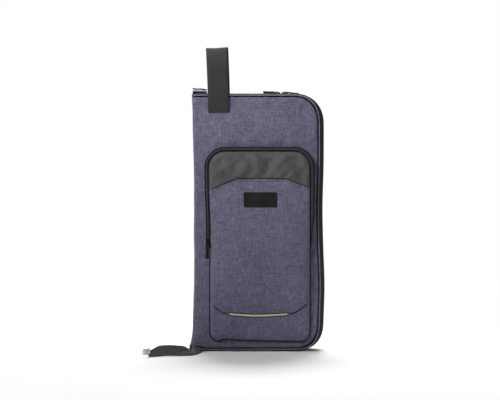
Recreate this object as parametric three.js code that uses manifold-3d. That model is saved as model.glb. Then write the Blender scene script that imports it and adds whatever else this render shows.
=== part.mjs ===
// Drum stick bag, in millimetres, +Z up. It stands on its bottom gusset with its front facing -Y and its
// spine at -X. The origin is on the floor, under the middle of the bag's width and depth.
//
// The bag opens like a book: the back half stays, the spine folds on the back half, and the front half folds
// on the spine. The front half carries a zipped pocket, whose upper part folds forward as a flap.
import * as THREE from 'three';
import { mergeVertices } from 'three/addons/utils/BufferGeometryUtils.js';
import Module from 'manifold-3d';

const wasm = await Module();
wasm.setup();

// ---- Driving dimensions ----
const BAG_WIDTH = 240;
const BAG_HEIGHT = 470;
const HALF_DEPTH = 22.5; // outer face of a half to the middle of the main zip
const BACK_Y = 30; // outer face of the back half
const CORNER_RADIUS = 52; // free corners of the outline
const POCKET_DEPTH = 16.4; // how far the pocket stands out of the front
const HANDLE_WIDTH = 38; // 1.5 inch webbing
const HANDLE_RISE = 82; // top of the loop above the bag
const WEBBING = 2; // thickness of handle and strap webbing
const GAP = 0.3; // left between pieces that touch
const ARC_STEPS = 12; // facets in each quarter circle

// ---- Places worked out from them ----
const LEFT = -BAG_WIDTH / 2;
const RIGHT = BAG_WIDTH / 2;
const SPLIT_Y = BACK_Y - HALF_DEPTH;
const FRONT_Y = SPLIT_Y - HALF_DEPTH;
const POCKET_Y = FRONT_Y - POCKET_DEPTH;
const ARC_X = RIGHT - CORNER_RADIUS;
const ARC_TOP = BAG_HEIGHT - CORNER_RADIUS;

// ---- Layers of a half, as depths below its outer face ----
const SHELL = [0, 1.2];
const FOAM = [1.5, 6.5];
const BOARD = [6.8, 8.0];
const LINING = [8.3, 9.1];
const SLEEVE_SHEET = [19.4, 20.6];
const PIPING = [0, 2.6];
const GUSSET = [0.5, 13.7];
const ZIP_TAPE = [14.0, 18.4];
const ZIP_TEETH = [18.7, 21.2];

// ---- Insets of those layers from the bag's outline ----
const GUSSET_WALL = 3;
const TAPE_INSET = [0.8, 2.0];
const TEETH_INSET = [0.2, 2.6];
const PIPING_INSET = [3.3, 7.1];
const SHELL_INSET = 7.4;
const FOAM_INSET = 8;
const BOARD_INSET = 12;
const LINING_INSET = 4;

// ---- Spine, and what ends beside it ----
const SPINE_LAYERS = { shell: [0, 1.2], foam: [1.5, 4.5], lining: [4.8, 5.6] };
const HALF_LEFT = LEFT + 6.3; // where foam, lining and gusset of a half begin
const SHELL_LEFT = LEFT + GAP;
const TEETH_LEFT = LEFT + 14;

// ---- Raised corner under which the hanging strap passes ----
const FOOT_X = -94; // the base is flat from here to the free corner
const FOOT_RISE = 8; // height of the corner at the spine

// ---- Front pocket ----
const POCKET = { left: -96.5, right: 99.8, top: 371.2, radius: 36 };
const POCKET_ZIP_END = 190; // lower ends of the pocket zip
const POCKET_HINGE_Z = 195.8; // fold line of the flap
const POCKET_BASE = { left: -87.6, right: 93, bottom: 19.8, radius: 16 };
const POCKET_TAPE = 5.2; // visible width of the outer tape
const FLAP_INSET = 7; // edge of the flap inside the pocket's outline
const INNER_TAPE = [7, 12.5];
const POCKET_FABRIC = 1.2;
const POCKET_FOAM = 3.5;
const TAPE_THICKNESS = 1.1;
const TAPE_Y = POCKET_Y + 4.8; // front face of the pocket's outer tape
const YOKE_SEAM = { left: 293, arch: 314, right: 297, archX: [-39, 50] }; // where blue panel meets grey yoke
const LABEL = { left: -26.7, right: 33.4, bottom: 264, top: 291, thickness: 0.6 };
const TRIM = { route: [[-53.5, 70], [-3.6, 67], [54, 70]], width: 3.5, thickness: 0.6 };

// ---- Stick sleeves ----
const SLEEVE_DIVIDERS = [-106, -38, 30, 98]; // where each divider starts along x
const DIVIDER = 1.6; // thickness of a divider
const SLEEVE_BOTTOM = 24;
const SLEEVE_HEIGHT = { front: 240, back: 290 };
const BINDING_HEIGHT = 5;

// ---- Hanging strap: its route starts under the raised corner and ends at the hook ----
const STRAP_WIDTH = 20;
const STRAP_ROUTE = [
  [-112, -16.5, 2.4],
  [-112.5, -26, 1.6],
  [-115, -38, 2.2],
  [-121, -51, 5.5],
  [-134, -63, 8.6],
  [-152, -73, 9.3],
  [-172.5, -80, 9.3],
  [-193.5, -84.5, 9.3],
];

const MATERIALS = {
  melange: fabric('#6c6b7e', 0.92),
  yoke: fabric('#5a5858', 0.8),
  black: fabric('#26262a', 0.88),
  webbing: fabric('#3c3c3e', 0.85),
  lining: fabric('#33343a', 0.95),
  foam: fabric('#8c8c90', 1),
  trim: fabric('#bcae8c', 0.7),
  label: new THREE.MeshStandardMaterial({ color: '#1b1b1d', roughness: 0.55, metalness: 0 }),
  board: new THREE.MeshStandardMaterial({ color: '#2b2b2b', roughness: 0.6, metalness: 0 }),
  teeth: new THREE.MeshStandardMaterial({ color: '#1d1d20', roughness: 0.45, metalness: 0 }),
  slider: new THREE.MeshStandardMaterial({ color: '#55555a', roughness: 0.35, metalness: 0.9 }),
  steel: new THREE.MeshStandardMaterial({ color: '#b4b4b6', roughness: 0.25, metalness: 1 }),
};

function fabric(color, roughness) {
  return new THREE.MeshStandardMaterial({ color, roughness, metalness: 0 });
}

// ---- Shape helpers ----

function addPart(group, name, geometry, material) {
  const mesh = new THREE.Mesh(geometry, material);
  mesh.name = name;
  group.add(mesh);
}

function box(low, high) {
  const size = high.map((value, axis) => value - low[axis]);
  const geometry = new THREE.BoxGeometry(...size);
  geometry.translate(...high.map((value, axis) => (value + low[axis]) / 2));
  return geometry;
}

// An outline drawn in x and z, made solid along y.
function alongY(shape, [low, high]) {
  const geometry = new THREE.ExtrudeGeometry(shape, {
    depth: high - low,
    bevelEnabled: false,
    curveSegments: ARC_STEPS,
  });
  geometry.rotateX(Math.PI / 2);
  geometry.translate(0, high, 0);
  return geometry;
}

// An outline drawn in y and z, made solid along x.
function alongX(shape, [low, high]) {
  const geometry = new THREE.ExtrudeGeometry(shape, { depth: high - low, bevelEnabled: false });
  geometry.applyMatrix4(new THREE.Matrix4().makeBasis(
    new THREE.Vector3(0, 1, 0),
    new THREE.Vector3(0, 0, 1),
    new THREE.Vector3(1, 0, 0),
  ));
  geometry.translate(low, 0, 0);
  return geometry;
}

// An outline drawn in x and y, made solid along z.
function alongZ(shape, [low, high]) {
  const geometry = new THREE.ExtrudeGeometry(shape, {
    depth: high - low,
    bevelEnabled: false,
    curveSegments: ARC_STEPS,
  });
  geometry.translate(0, 0, low);
  return geometry;
}

function toSolid(geometry) {
  const bare = geometry.clone();
  bare.deleteAttribute('normal');
  bare.deleteAttribute('uv');
  const merged = mergeVertices(bare);
  return new wasm.Manifold(new wasm.Mesh({
    numProp: 3,
    vertProperties: new Float32Array(merged.attributes.position.array),
    triVerts: new Uint32Array(merged.index.array),
  }));
}

function toGeometry(solid) {
  const mesh = solid.getMesh();
  const geometry = new THREE.BufferGeometry();
  geometry.setAttribute('position', new THREE.BufferAttribute(mesh.vertProperties, 3));
  geometry.setIndex(new THREE.BufferAttribute(mesh.triVerts, 1));
  geometry.computeVertexNormals();
  return geometry;
}

function join(...geometries) {
  return toGeometry(geometries.map(toSolid).reduce((whole, next) => whole.add(next)));
}

function polygon(points) {
  return new THREE.Shape(points.map(([x, y]) => new THREE.Vector2(x, y)));
}

// A strip seen from its edge: a smooth line through the points, made thick.
function strip(points, thickness, steps) {
  const line = new THREE.SplineCurve(points.map(([x, y]) => new THREE.Vector2(x, y)));
  const sides = [-1, 1].map((side) => Array.from({ length: steps + 1 }, (_, step) => {
    const point = line.getPoint(step / steps);
    const ahead = line.getTangent(step / steps);
    const reach = side * thickness / 2;
    return new THREE.Vector2(point.x - ahead.y * reach, point.y + ahead.x * reach);
  }));
  return new THREE.Shape([...sides[0], ...sides[1].reverse()]);
}

// ---- The two halves ----

const FRONT = { name: 'front', outer: FRONT_Y, inward: 1 };
const BACK = { name: 'back', outer: BACK_Y, inward: -1 };

function depths(half, [shallow, deep]) {
  const ends = [half.outer + half.inward * shallow, half.outer + half.inward * deep];
  return ends.sort((a, b) => a - b);
}

// Height of the underside at a place along x: it rises from the flat base to the spine.
function underside(x) {
  return FOOT_RISE * Math.max(0, FOOT_X - x) / (FOOT_X - LEFT);
}

function traceOut(shape, start, inset) {
  shape.moveTo(start, underside(start) + inset);
  shape.lineTo(FOOT_X, inset);
  shape.absarc(ARC_X, CORNER_RADIUS, CORNER_RADIUS - inset, -Math.PI / 2, 0, false);
  shape.absarc(ARC_X, ARC_TOP, CORNER_RADIUS - inset, 0, Math.PI / 2, false);
  shape.lineTo(start, BAG_HEIGHT - inset);
}

function traceBack(shape, start, inset) {
  shape.lineTo(start, BAG_HEIGHT - inset);
  shape.absarc(ARC_X, ARC_TOP, CORNER_RADIUS - inset, Math.PI / 2, 0, true);
  shape.absarc(ARC_X, CORNER_RADIUS, CORNER_RADIUS - inset, 0, -Math.PI / 2, true);
  shape.lineTo(FOOT_X, inset);
  shape.lineTo(start, underside(start) + inset);
}

function panelShape(start, inset) {
  const shape = new THREE.Shape();
  traceOut(shape, start, inset);
  return shape;
}

function bandShape(start, [outer, inner]) {
  const shape = new THREE.Shape();
  traceOut(shape, start, outer);
  traceBack(shape, start, inner);
  return shape;
}

function addHalfPanels(group, half) {
  const layers = [
    ['shell', SHELL_LEFT, SHELL_INSET, SHELL, MATERIALS.melange],
    ['foam', HALF_LEFT, FOAM_INSET, FOAM, MATERIALS.foam],
    ['board', LEFT + BOARD_INSET, BOARD_INSET, BOARD, MATERIALS.board],
    ['lining', HALF_LEFT, LINING_INSET, LINING, MATERIALS.lining],
  ];
  for (const [layer, start, inset, layerDepths, material] of layers) {
    const geometry = alongY(panelShape(start, inset), depths(half, layerDepths));
    addPart(group, `${half.name}_${layer}`, geometry, material);
  }
}

function addHalfEdges(group, half) {
  const bands = [
    ['piping', HALF_LEFT, PIPING_INSET, PIPING, MATERIALS.melange],
    ['gusset', HALF_LEFT, [0, GUSSET_WALL], GUSSET, MATERIALS.black],
    ['zip_tape', HALF_LEFT, TAPE_INSET, ZIP_TAPE, MATERIALS.black],
    ['zip_teeth', TEETH_LEFT, TEETH_INSET, ZIP_TEETH, MATERIALS.teeth],
  ];
  for (const [layer, start, insets, layerDepths, material] of bands) {
    const geometry = alongY(bandShape(start, insets), depths(half, layerDepths));
    addPart(group, `${half.name}_${layer}`, geometry, material);
  }
}

// The crimped stops that end the zip's teeth at the top and at the bottom of the spine.
function addZipStops(group, half) {
  const length = 4;
  const [outer, inner] = TEETH_INSET;
  const right = TEETH_LEFT - 2 * GAP;
  const [low, high] = depths(half, ZIP_TEETH);
  const rise = underside(right);
  const top = box([right - length, low, BAG_HEIGHT - inner], [right, high, BAG_HEIGHT - outer]);
  const bottom = box([right - length, low, rise + outer + 2 * GAP], [right, high, rise + inner + 2 * GAP]);
  addPart(group, `${half.name}_zip_stop_top`, top, MATERIALS.slider);
  addPart(group, `${half.name}_zip_stop_bottom`, bottom, MATERIALS.slider);
}

// A row of open-topped channels for sticks: one sheet, with dividers back to the lining and a closed bottom.
function addStickSleeve(group, half) {
  const [left, right] = [SLEEVE_DIVIDERS[0], SLEEVE_DIVIDERS.at(-1) + DIVIDER];
  const top = SLEEVE_BOTTOM + SLEEVE_HEIGHT[half.name];
  const [sheetOuter, sheetInner] = SLEEVE_SHEET.map((depth) => half.outer + half.inward * depth);
  const root = half.outer + half.inward * (LINING[1] + GAP);
  const divider = (x) => [[x, sheetOuter], [x, root], [x + DIVIDER, root], [x + DIVIDER, sheetOuter]];
  // The end dividers run on into the ends of the sheet, so their outer corners on it are left out.
  const dividers = SLEEVE_DIVIDERS.flatMap(divider).slice(1, -1);
  const outline = [[left, sheetInner], ...dividers, [right, sheetInner]];
  const channels = alongZ(polygon(outline), [SLEEVE_BOTTOM, top]);
  const [low, high] = [root, sheetInner].sort((a, b) => a - b);
  const base = box([left, low, SLEEVE_BOTTOM], [right, high, SLEEVE_BOTTOM + DIVIDER]);
  addPart(group, `${half.name}_stick_sleeve`, join(channels, base), MATERIALS.lining);
  const [rimLow, rimHigh] = depths(half, [SLEEVE_SHEET[0] - 0.4, SLEEVE_SHEET[1] + 0.4]);
  const binding = box([left, rimLow, top + GAP], [right, rimHigh, top + GAP + BINDING_HEIGHT]);
  addPart(group, `${half.name}_sleeve_binding`, binding, MATERIALS.black);
}

// ---- Spine ----

function addSpine(group) {
  const between = [FRONT_Y + SHELL[1] + GAP, BACK_Y - SHELL[1] - GAP];
  const ends = { shell: [FOOT_RISE, BAG_HEIGHT], foam: [FOOT_RISE + 2, BAG_HEIGHT - 2] };
  ends.lining = ends.foam;
  const materials = { shell: MATERIALS.melange, foam: MATERIALS.foam, lining: MATERIALS.lining };
  for (const [layer, [outer, inner]] of Object.entries(SPINE_LAYERS)) {
    const [low, high] = ends[layer];
    const geometry = box([LEFT + outer, between[0], low], [LEFT + inner, between[1], high]);
    addPart(group, `spine_${layer}`, geometry, materials[layer]);
  }
}

// ---- Handle: one webbing loop in three lengths, one on each body that it crosses ----

function addHandle(frontGroup, spineGroup, backGroup) {
  const right = -54;
  const across = [right - HANDLE_WIDTH, right];
  const face = WEBBING / 2 + GAP;
  const crown = BAG_HEIGHT + HANDLE_RISE - WEBBING / 2;
  const sewn = BAG_HEIGHT - 34;
  const legs = [
    ['handle_front_leg', frontGroup, FRONT_Y - face, 1],
    ['handle_back_leg', backGroup, BACK_Y + face, -1],
  ];
  for (const [name, group, foot, inward] of legs) {
    const route = [
      [foot, sewn],
      [foot, BAG_HEIGHT - 10],
      [foot + inward * 1.2, BAG_HEIGHT + 20],
      [foot + inward * 5.4, BAG_HEIGHT + 45],
      [foot + inward * 12.4, BAG_HEIGHT + 62],
    ];
    addPart(group, name, alongX(strip(route, WEBBING, 14), across), MATERIALS.webbing);
  }
  const arch = [
    [SPLIT_Y - 10.6, crown - 17],
    [SPLIT_Y - 6.5, crown - 5],
    [SPLIT_Y, crown],
    [SPLIT_Y + 6.5, crown - 5],
    [SPLIT_Y + 10.6, crown - 17],
  ];
  addPart(spineGroup, 'handle_crown', alongX(strip(arch, WEBBING, 16), across), MATERIALS.webbing);
}

// A folded fabric cover over the start of the main zip, standing just above the back half.
function addZipEndPatch(group) {
  const side = [
    [SPLIT_Y + 6, BAG_HEIGHT + GAP],
    [BACK_Y - 1, BAG_HEIGHT + GAP],
    [BACK_Y - 1, BAG_HEIGHT + 5],
    [SPLIT_Y + 11, BAG_HEIGHT + 7.5],
    [SPLIT_Y + 6, BAG_HEIGHT + 5],
  ];
  addPart(group, 'zip_end_patch', alongX(polygon(side), [LEFT + 1, -94]), MATERIALS.melange);
}

// ---- Zip sliders and pullers ----
// Both are made lying flat: the zip runs along x, its outer face is z = 0, and the puller lies towards -x.

const PULL_AXIS = 2.6; // height of the puller's pivot over the zip

function sliderGeometry({ length, top, bottom, post, chain }) {
  const plate = 1.4;
  const under = -chain - GAP;
  const upper = box([-length / 2, top[0], GAP], [length / 2, top[1], GAP + plate]);
  const lower = box([-length / 2, bottom[0], under - 1], [length / 2, bottom[1], under]);
  const neck = box([length / 2 - 4, post[0], under - 0.5], [length / 2 - 1, post[1], GAP + 0.5]);
  const arch = new THREE.Shape();
  arch.moveTo(-3.6, 1);
  arch.lineTo(3.6, 1);
  arch.lineTo(3.6, 3.6);
  arch.lineTo(2.4, 4.8);
  arch.lineTo(-2.4, 4.8);
  arch.lineTo(-3.6, 3.6);
  const window = new THREE.Path();
  window.moveTo(-2.3, 1.5);
  window.lineTo(-2.3, 3.6);
  window.lineTo(2.3, 3.6);
  window.lineTo(2.3, 1.5);
  arch.holes.push(window);
  const thickness = 1.8;
  const middle = (top[0] + top[1]) / 2;
  const bail = alongY(arch, [middle - thickness / 2, middle + thickness / 2]);
  return join(upper, lower, neck, bail);
}

// A flat plate with a slot at its pivot end. The bar that closes the slot turns inside the slider's bail.
function pullerGeometry(length, width) {
  const slot = 3.2;
  const shape = polygon([
    [0.5, -width / 2],
    [0.5, width / 2],
    [-length + 1.5, width / 2],
    [-length, width / 2 - 1.5],
    [-length, -width / 2 + 1.5],
    [-length + 1.5, -width / 2],
  ]);
  shape.holes.push(new THREE.Path(polygon([
    [-0.5, -slot / 2],
    [-4.6, -slot / 2],
    [-4.6, slot / 2],
    [-0.5, slot / 2],
  ]).getPoints()));
  return alongZ(shape, [-0.5, 0.5]);
}

// A puller in its own group, with its pivot at the group's origin.
function addPuller(slider, name, length, width) {
  const swing = new THREE.Group();
  swing.position.z = PULL_AXIS;
  slider.add(swing);
  addPart(swing, name, pullerGeometry(length, width), MATERIALS.slider);
  return swing;
}

const MAIN_SLIDER = {
  length: 12,
  top: [-4.8, 4.8],
  bottom: [-4.8, 4.8],
  post: [-0.9, 0.9],
  chain: TEETH_INSET[1] - TEETH_INSET[0],
};

// Two sliders meet on the top of the bag, with their pull tabs lying away from each other.
function addMainSliders(group) {
  const pullerLength = 9.5;
  const places = [
    ['left', 34, 0],
    ['right', 48, Math.PI],
  ];
  for (const [side, x, turn] of places) {
    const slider = new THREE.Group();
    slider.position.set(x, SPLIT_Y, BAG_HEIGHT - TEETH_INSET[0]);
    slider.rotation.z = turn;
    group.add(slider);
    addPart(slider, `main_zip_slider_${side}`, sliderGeometry(MAIN_SLIDER), MATERIALS.slider);
    const swing = addPuller(slider, `main_zip_puller_${side}`, pullerLength, 5.5);
    const tab = box([-25.5, -4, -0.9], [-pullerLength - GAP, 4, 2.2]);
    addPart(swing, `main_zip_pull_tab_${side}`, tab, MATERIALS.webbing);
  }
}

// The pocket's slider sits on the outer tape, at the lower end of the spine side, with its puller hanging.
function addPocketSlider(group) {
  const clearance = 0.4; // between the slider and the flap, which swings past it
  const outside = POCKET.left - 0.1;
  const inside = POCKET.left + FLAP_INSET - clearance;
  const middle = (inside + outside) / 2;
  const half = (inside - outside) / 2;
  const slider = new THREE.Group();
  slider.position.set(middle, TAPE_Y, POCKET_ZIP_END + 10);
  slider.setRotationFromMatrix(new THREE.Matrix4().makeBasis(
    new THREE.Vector3(0, 0, 1),
    new THREE.Vector3(-1, 0, 0),
    new THREE.Vector3(0, -1, 0),
  ));
  group.add(slider);
  const geometry = sliderGeometry({
    length: 14,
    top: [-half, half],
    bottom: [-half, -half + 3.4],
    post: [-half, -half + 1.1],
    chain: TAPE_THICKNESS,
  });
  addPart(slider, 'pocket_zip_slider', geometry, MATERIALS.slider);
  addPuller(slider, 'pocket_zip_puller', 30, 5);
}

// ---- Front pocket ----

function traceArch(shape, inset, bottom, farBottom = bottom) {
  const radius = POCKET.radius - inset;
  shape.moveTo(POCKET.left + inset, bottom);
  shape.lineTo(POCKET.left + inset, POCKET.top - POCKET.radius);
  shape.absarc(POCKET.left + POCKET.radius, POCKET.top - POCKET.radius, radius, Math.PI, Math.PI / 2, true);
  shape.absarc(POCKET.right - POCKET.radius, POCKET.top - POCKET.radius, radius, Math.PI / 2, 0, true);
  shape.lineTo(POCKET.right - inset, farBottom);
}

function archBand([outer, inner], bottom) {
  const shape = new THREE.Shape();
  traceArch(shape, outer, bottom);
  const radius = POCKET.radius - inner;
  shape.lineTo(POCKET.right - inner, bottom);
  shape.absarc(POCKET.right - POCKET.radius, POCKET.top - POCKET.radius, radius, 0, Math.PI / 2, false);
  shape.absarc(POCKET.left + POCKET.radius, POCKET.top - POCKET.radius, radius, Math.PI / 2, Math.PI, false);
  shape.lineTo(POCKET.left + inner, bottom);
  return shape;
}

function archPanel(inset, bottom) {
  const shape = new THREE.Shape();
  traceArch(shape, inset, bottom);
  return shape;
}

// The seam between the blue flap panel and the grey yoke, from the spine side to the free side.
function yokeSeam(drop) {
  const { left, arch, right, archX } = YOKE_SEAM;
  return [
    [POCKET.left + FLAP_INSET, left - drop],
    [archX[0], arch - drop],
    [archX[1], arch - drop],
    [POCKET.right - FLAP_INSET, right - drop],
  ];
}

function addPocketFlap(group) {
  const fabricDepth = [POCKET_Y, POCKET_Y + POCKET_FABRIC];
  const bottom = POCKET_HINGE_Z + GAP;
  const edges = [POCKET.left + FLAP_INSET, POCKET.right - FLAP_INSET];
  const panel = polygon([[edges[0], bottom], ...yokeSeam(GAP), [edges[1], bottom]]);
  addPart(group, 'pocket_flap_panel', alongY(panel, fabricDepth), MATERIALS.melange);

  const yoke = new THREE.Shape();
  const seam = yokeSeam(0);
  traceArch(yoke, FLAP_INSET, seam[0][1], seam[3][1]);
  yoke.lineTo(...seam[2]);
  yoke.lineTo(...seam[1]);
  addPart(group, 'pocket_yoke', alongY(yoke, fabricDepth), MATERIALS.yoke);

  const foamY = [fabricDepth[1] + GAP, fabricDepth[1] + GAP + POCKET_FOAM];
  addPart(group, 'pocket_flap_foam', alongY(archPanel(FLAP_INSET + 1.5, bottom), foamY), MATERIALS.foam);
  const liningY = [foamY[1] + GAP, foamY[1] + GAP + 0.7];
  addPart(group, 'pocket_flap_lining', alongY(archPanel(FLAP_INSET + 0.5, bottom), liningY), MATERIALS.lining);
  const tapeY = [liningY[1] + GAP, liningY[1] + GAP + 0.8];
  addPart(group, 'pocket_inner_tape', alongY(archBand(INNER_TAPE, bottom), tapeY), MATERIALS.black);

  const labelY = [POCKET_Y - GAP - LABEL.thickness, POCKET_Y - GAP];
  const label = box([LABEL.left, labelY[0], LABEL.bottom], [LABEL.right, labelY[1], LABEL.top]);
  addPart(group, 'label_patch', label, MATERIALS.label);
}

function baseOutline(inset, top) {
  const { left, right, bottom, radius } = POCKET_BASE;
  const shape = new THREE.Shape();
  shape.moveTo(left + inset, top);
  shape.lineTo(left + inset, bottom + radius);
  shape.absarc(left + radius, bottom + radius, radius - inset, Math.PI, 1.5 * Math.PI, false);
  shape.absarc(right - radius, bottom + radius, radius - inset, 1.5 * Math.PI, 2 * Math.PI, false);
  shape.lineTo(right - inset, top);
  return shape;
}

// The lower part of the pocket: a face with a wall round its three sewn sides, open at the back and the top.
function addPocketBase(group) {
  const top = POCKET_HINGE_Z - GAP / 2;
  const wallY = [POCKET_Y + POCKET_FABRIC / 2, FRONT_Y - GAP];
  const face = alongY(baseOutline(0, top), [POCKET_Y, POCKET_Y + POCKET_FABRIC]);
  const block = toSolid(alongY(baseOutline(0, top), wallY));
  const hollow = toSolid(alongY(baseOutline(POCKET_FABRIC, top + 1), [wallY[0] - 1, wallY[1] + 1]));
  const wall = toGeometry(block.subtract(hollow));
  addPart(group, 'pocket_lower_panel', join(face, wall), MATERIALS.melange);

  const foamY = [POCKET_Y + POCKET_FABRIC + GAP, POCKET_Y + POCKET_FABRIC + GAP + POCKET_FOAM];
  const foam = alongY(baseOutline(POCKET_FABRIC + GAP, top), foamY);
  addPart(group, 'pocket_lower_foam', foam, MATERIALS.foam);
  const liningY = [foamY[1] + GAP, foamY[1] + GAP + 0.7];
  const lining = alongY(baseOutline(POCKET_FABRIC + GAP, top), liningY);
  addPart(group, 'pocket_lower_lining', lining, MATERIALS.lining);
}

function addPocketFrame(group) {
  const tapeY = [TAPE_Y, TAPE_Y + TAPE_THICKNESS];
  const wallY = [tapeY[1] + GAP, FRONT_Y - GAP];
  addPart(group, 'pocket_gusset', alongY(archBand([0, 2.6], POCKET_ZIP_END), wallY), MATERIALS.black);
  addPart(group, 'pocket_outer_tape', alongY(archBand([0, POCKET_TAPE], POCKET_ZIP_END), tapeY), MATERIALS.black);

  const trim = strip(TRIM.route, TRIM.width, ARC_STEPS);
  const trimY = [POCKET_Y - GAP - TRIM.thickness, POCKET_Y - GAP];
  addPart(group, 'pocket_trim_piping', alongY(trim, trimY), MATERIALS.trim);
}

// ---- Hanging strap: sewn under the raised corner, lying flat, then turned on its edge ----

function addHangingStrap(group) {
  const [right, left] = [-104, LEFT + 1];
  const slope = (x, below) => [x, underside(x) - GAP - below];
  const base = polygon([slope(right, 0), slope(right, WEBBING), slope(left, WEBBING), slope(left, 0)]);
  addPart(group, 'strap_base', alongY(base, [FRONT_Y - 1.2, -2]), MATERIALS.webbing);

  const plan = STRAP_ROUTE.map(([x, y]) => [x, y]);
  const flat = strip(plan.slice(0, 3), STRAP_WIDTH, 6);
  addPart(group, 'hanging_strap_flat', alongZ(flat, [GAP, GAP + WEBBING]), MATERIALS.webbing);
  const edgeTop = 18.3; // it leans, so it stands a little lower than it is wide
  const edge = strip(plan.slice(3), WEBBING, 14);
  addPart(group, 'hanging_strap_edge', alongZ(edge, [GAP, edgeTop]), MATERIALS.webbing);
}

// A stamped hook: a strip that clasps the strap's end and curls back into an open J.
function addStrapHook(group) {
  const [before, end] = STRAP_ROUTE.slice(-2);
  const steel = 1.4;
  const inner = 4;
  const shape = new THREE.Shape();
  shape.moveTo(0.5, -steel / 2);
  shape.lineTo(6.5, -steel / 2);
  shape.absarc(6.5, inner + steel / 2, inner + steel, -Math.PI / 2, Math.PI / 2, false);
  shape.lineTo(2, 2 * inner + 1.5 * steel);
  shape.lineTo(2, 2 * inner + steel / 2);
  shape.lineTo(6.5, 2 * inner + steel / 2);
  shape.absarc(6.5, inner + steel / 2, inner, Math.PI / 2, -Math.PI / 2, true);
  shape.lineTo(0.5, steel / 2);
  const hook = new THREE.Group();
  hook.position.set(end[0], end[1], 3.3);
  hook.rotation.z = Math.atan2(end[1] - before[1], end[0] - before[0]);
  group.add(hook);
  addPart(hook, 'strap_hook', alongZ(shape, [0, 12]), MATERIALS.steel);
}

// ---- The whole bag ----

function buildBag() {
  const bag = new THREE.Group();
  const backHalf = new THREE.Group();
  const spine = new THREE.Group();
  const frontHalf = new THREE.Group();
  const pocketFlap = new THREE.Group();
  bag.add(backHalf, spine, frontHalf);
  frontHalf.add(pocketFlap);

  for (const [group, half] of [[backHalf, BACK], [frontHalf, FRONT]]) {
    addHalfPanels(group, half);
    addHalfEdges(group, half);
    addZipStops(group, half);
    addStickSleeve(group, half);
  }
  addSpine(spine);
  addHandle(frontHalf, spine, backHalf);
  addZipEndPatch(backHalf);
  addMainSliders(backHalf);
  addPocketFrame(frontHalf);
  addPocketBase(frontHalf);
  addPocketFlap(pocketFlap);
  addPocketSlider(frontHalf);
  addHangingStrap(frontHalf);
  addStrapHook(frontHalf);
  return bag;
}

export default buildBag();
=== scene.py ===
"""The looks of the drum stick bag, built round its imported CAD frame. Metres, +Z up, front facing -Y."""
from math import cos, exp, hypot, pi, radians, sin, sqrt

import bmesh
import bpy
import numpy as np
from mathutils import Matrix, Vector, noise


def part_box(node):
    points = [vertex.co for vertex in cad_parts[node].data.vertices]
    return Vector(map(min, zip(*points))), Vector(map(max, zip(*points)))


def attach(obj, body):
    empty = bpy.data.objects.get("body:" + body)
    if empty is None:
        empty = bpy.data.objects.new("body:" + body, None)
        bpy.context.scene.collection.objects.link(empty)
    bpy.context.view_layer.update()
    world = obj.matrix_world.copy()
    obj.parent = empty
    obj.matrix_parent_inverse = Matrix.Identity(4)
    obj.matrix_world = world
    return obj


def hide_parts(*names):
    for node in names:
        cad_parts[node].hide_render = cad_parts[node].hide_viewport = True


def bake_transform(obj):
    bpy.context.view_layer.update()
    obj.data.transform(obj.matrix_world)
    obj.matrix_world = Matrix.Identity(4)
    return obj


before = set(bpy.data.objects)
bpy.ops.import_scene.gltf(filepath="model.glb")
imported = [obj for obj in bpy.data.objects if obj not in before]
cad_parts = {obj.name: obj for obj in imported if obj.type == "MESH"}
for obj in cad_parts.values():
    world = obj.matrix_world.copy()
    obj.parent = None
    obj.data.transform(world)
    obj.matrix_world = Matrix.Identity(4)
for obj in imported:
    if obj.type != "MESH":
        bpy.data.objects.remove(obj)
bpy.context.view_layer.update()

MM = 0.001
UP = Vector((0, 0, 1))
AMBIENT = 0.2  # light from all round, where the white backdrop is 1
KEY_POWER = 2.1
TOP_POWER = 68
FLOOR_FADE = (0.32, 0.7)  # metres from the bag between which the floor turns white

# ---- Places taken from the frame ----
GUSSET_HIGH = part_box("front_gusset")[1]
RIGHT, TOP = GUSSET_HIGH.x, GUSSET_HIGH.z
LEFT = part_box("spine_shell")[0].x
FRONT_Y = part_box("front_shell")[0].y
BACK_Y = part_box("back_shell")[1].y
HALVES = {"front": (FRONT_Y, 1), "back": (BACK_Y, -1)}  # each half's outer face, and its way inwards along Y
SPLIT_Y = (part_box("front_zip_teeth")[1].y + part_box("back_zip_teeth")[0].y) / 2
CORNER = 56 * MM  # reach of the bag's free corners
TOP_SQUARENESS, LOW_SQUARENESS = 2.2, 2.5  # their curves are superellipses: 2 would be a circle
ARC_X = RIGHT - CORNER
ARC_TOP = TOP - CORNER
FOOT_X = -94 * MM  # the base is flat from here to the free corner, and rises from here to the spine
FOOT_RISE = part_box("spine_shell")[0].z - 4.5 * MM  # the cloth sags below the CAD's raised corner

POCKET_LOW, POCKET_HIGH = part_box("pocket_outer_tape")
POCKET_LEFT, POCKET_RIGHT, POCKET_TOP = POCKET_LOW.x, POCKET_HIGH.x, POCKET_HIGH.z
POCKET_RADIUS = 36 * MM
TAPE_Y = POCKET_LOW.y  # front face of the pocket's outer zip tape
ZIP_END = POCKET_LOW.z
FLAP_LOW, FLAP_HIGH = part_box("pocket_flap_panel")
POCKET_Y = FLAP_LOW.y
HINGE_Z = FLAP_LOW.z - 0.3 * MM
FLAP_LEFT, FLAP_RIGHT = FLAP_LOW.x, FLAP_HIGH.x
FLAP_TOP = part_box("pocket_yoke")[1].z
FLAP_RADIUS = POCKET_RADIUS - 7 * MM
BASE_LOW, BASE_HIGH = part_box("pocket_lower_panel")
BASE_RADIUS = 16 * MM

# ---- Camera, at the photograph's viewing angle ----
VIEW_WIDTH = 907.5 * MM  # width of the picture at the front panel
CAMERA_DISTANCE = 2.6
CAMERA_ELEVATION = radians(2.2)
CAMERA_TARGET = Vector((-15.4 * MM, FRONT_Y, 276.4 * MM))


def add_object(name, data):
    made = bpy.data.objects.new(name, data)
    bpy.context.scene.collection.objects.link(made)
    return made


def set_all(thing, **values):
    for key, value in values.items():
        setattr(thing, key, value)


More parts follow.
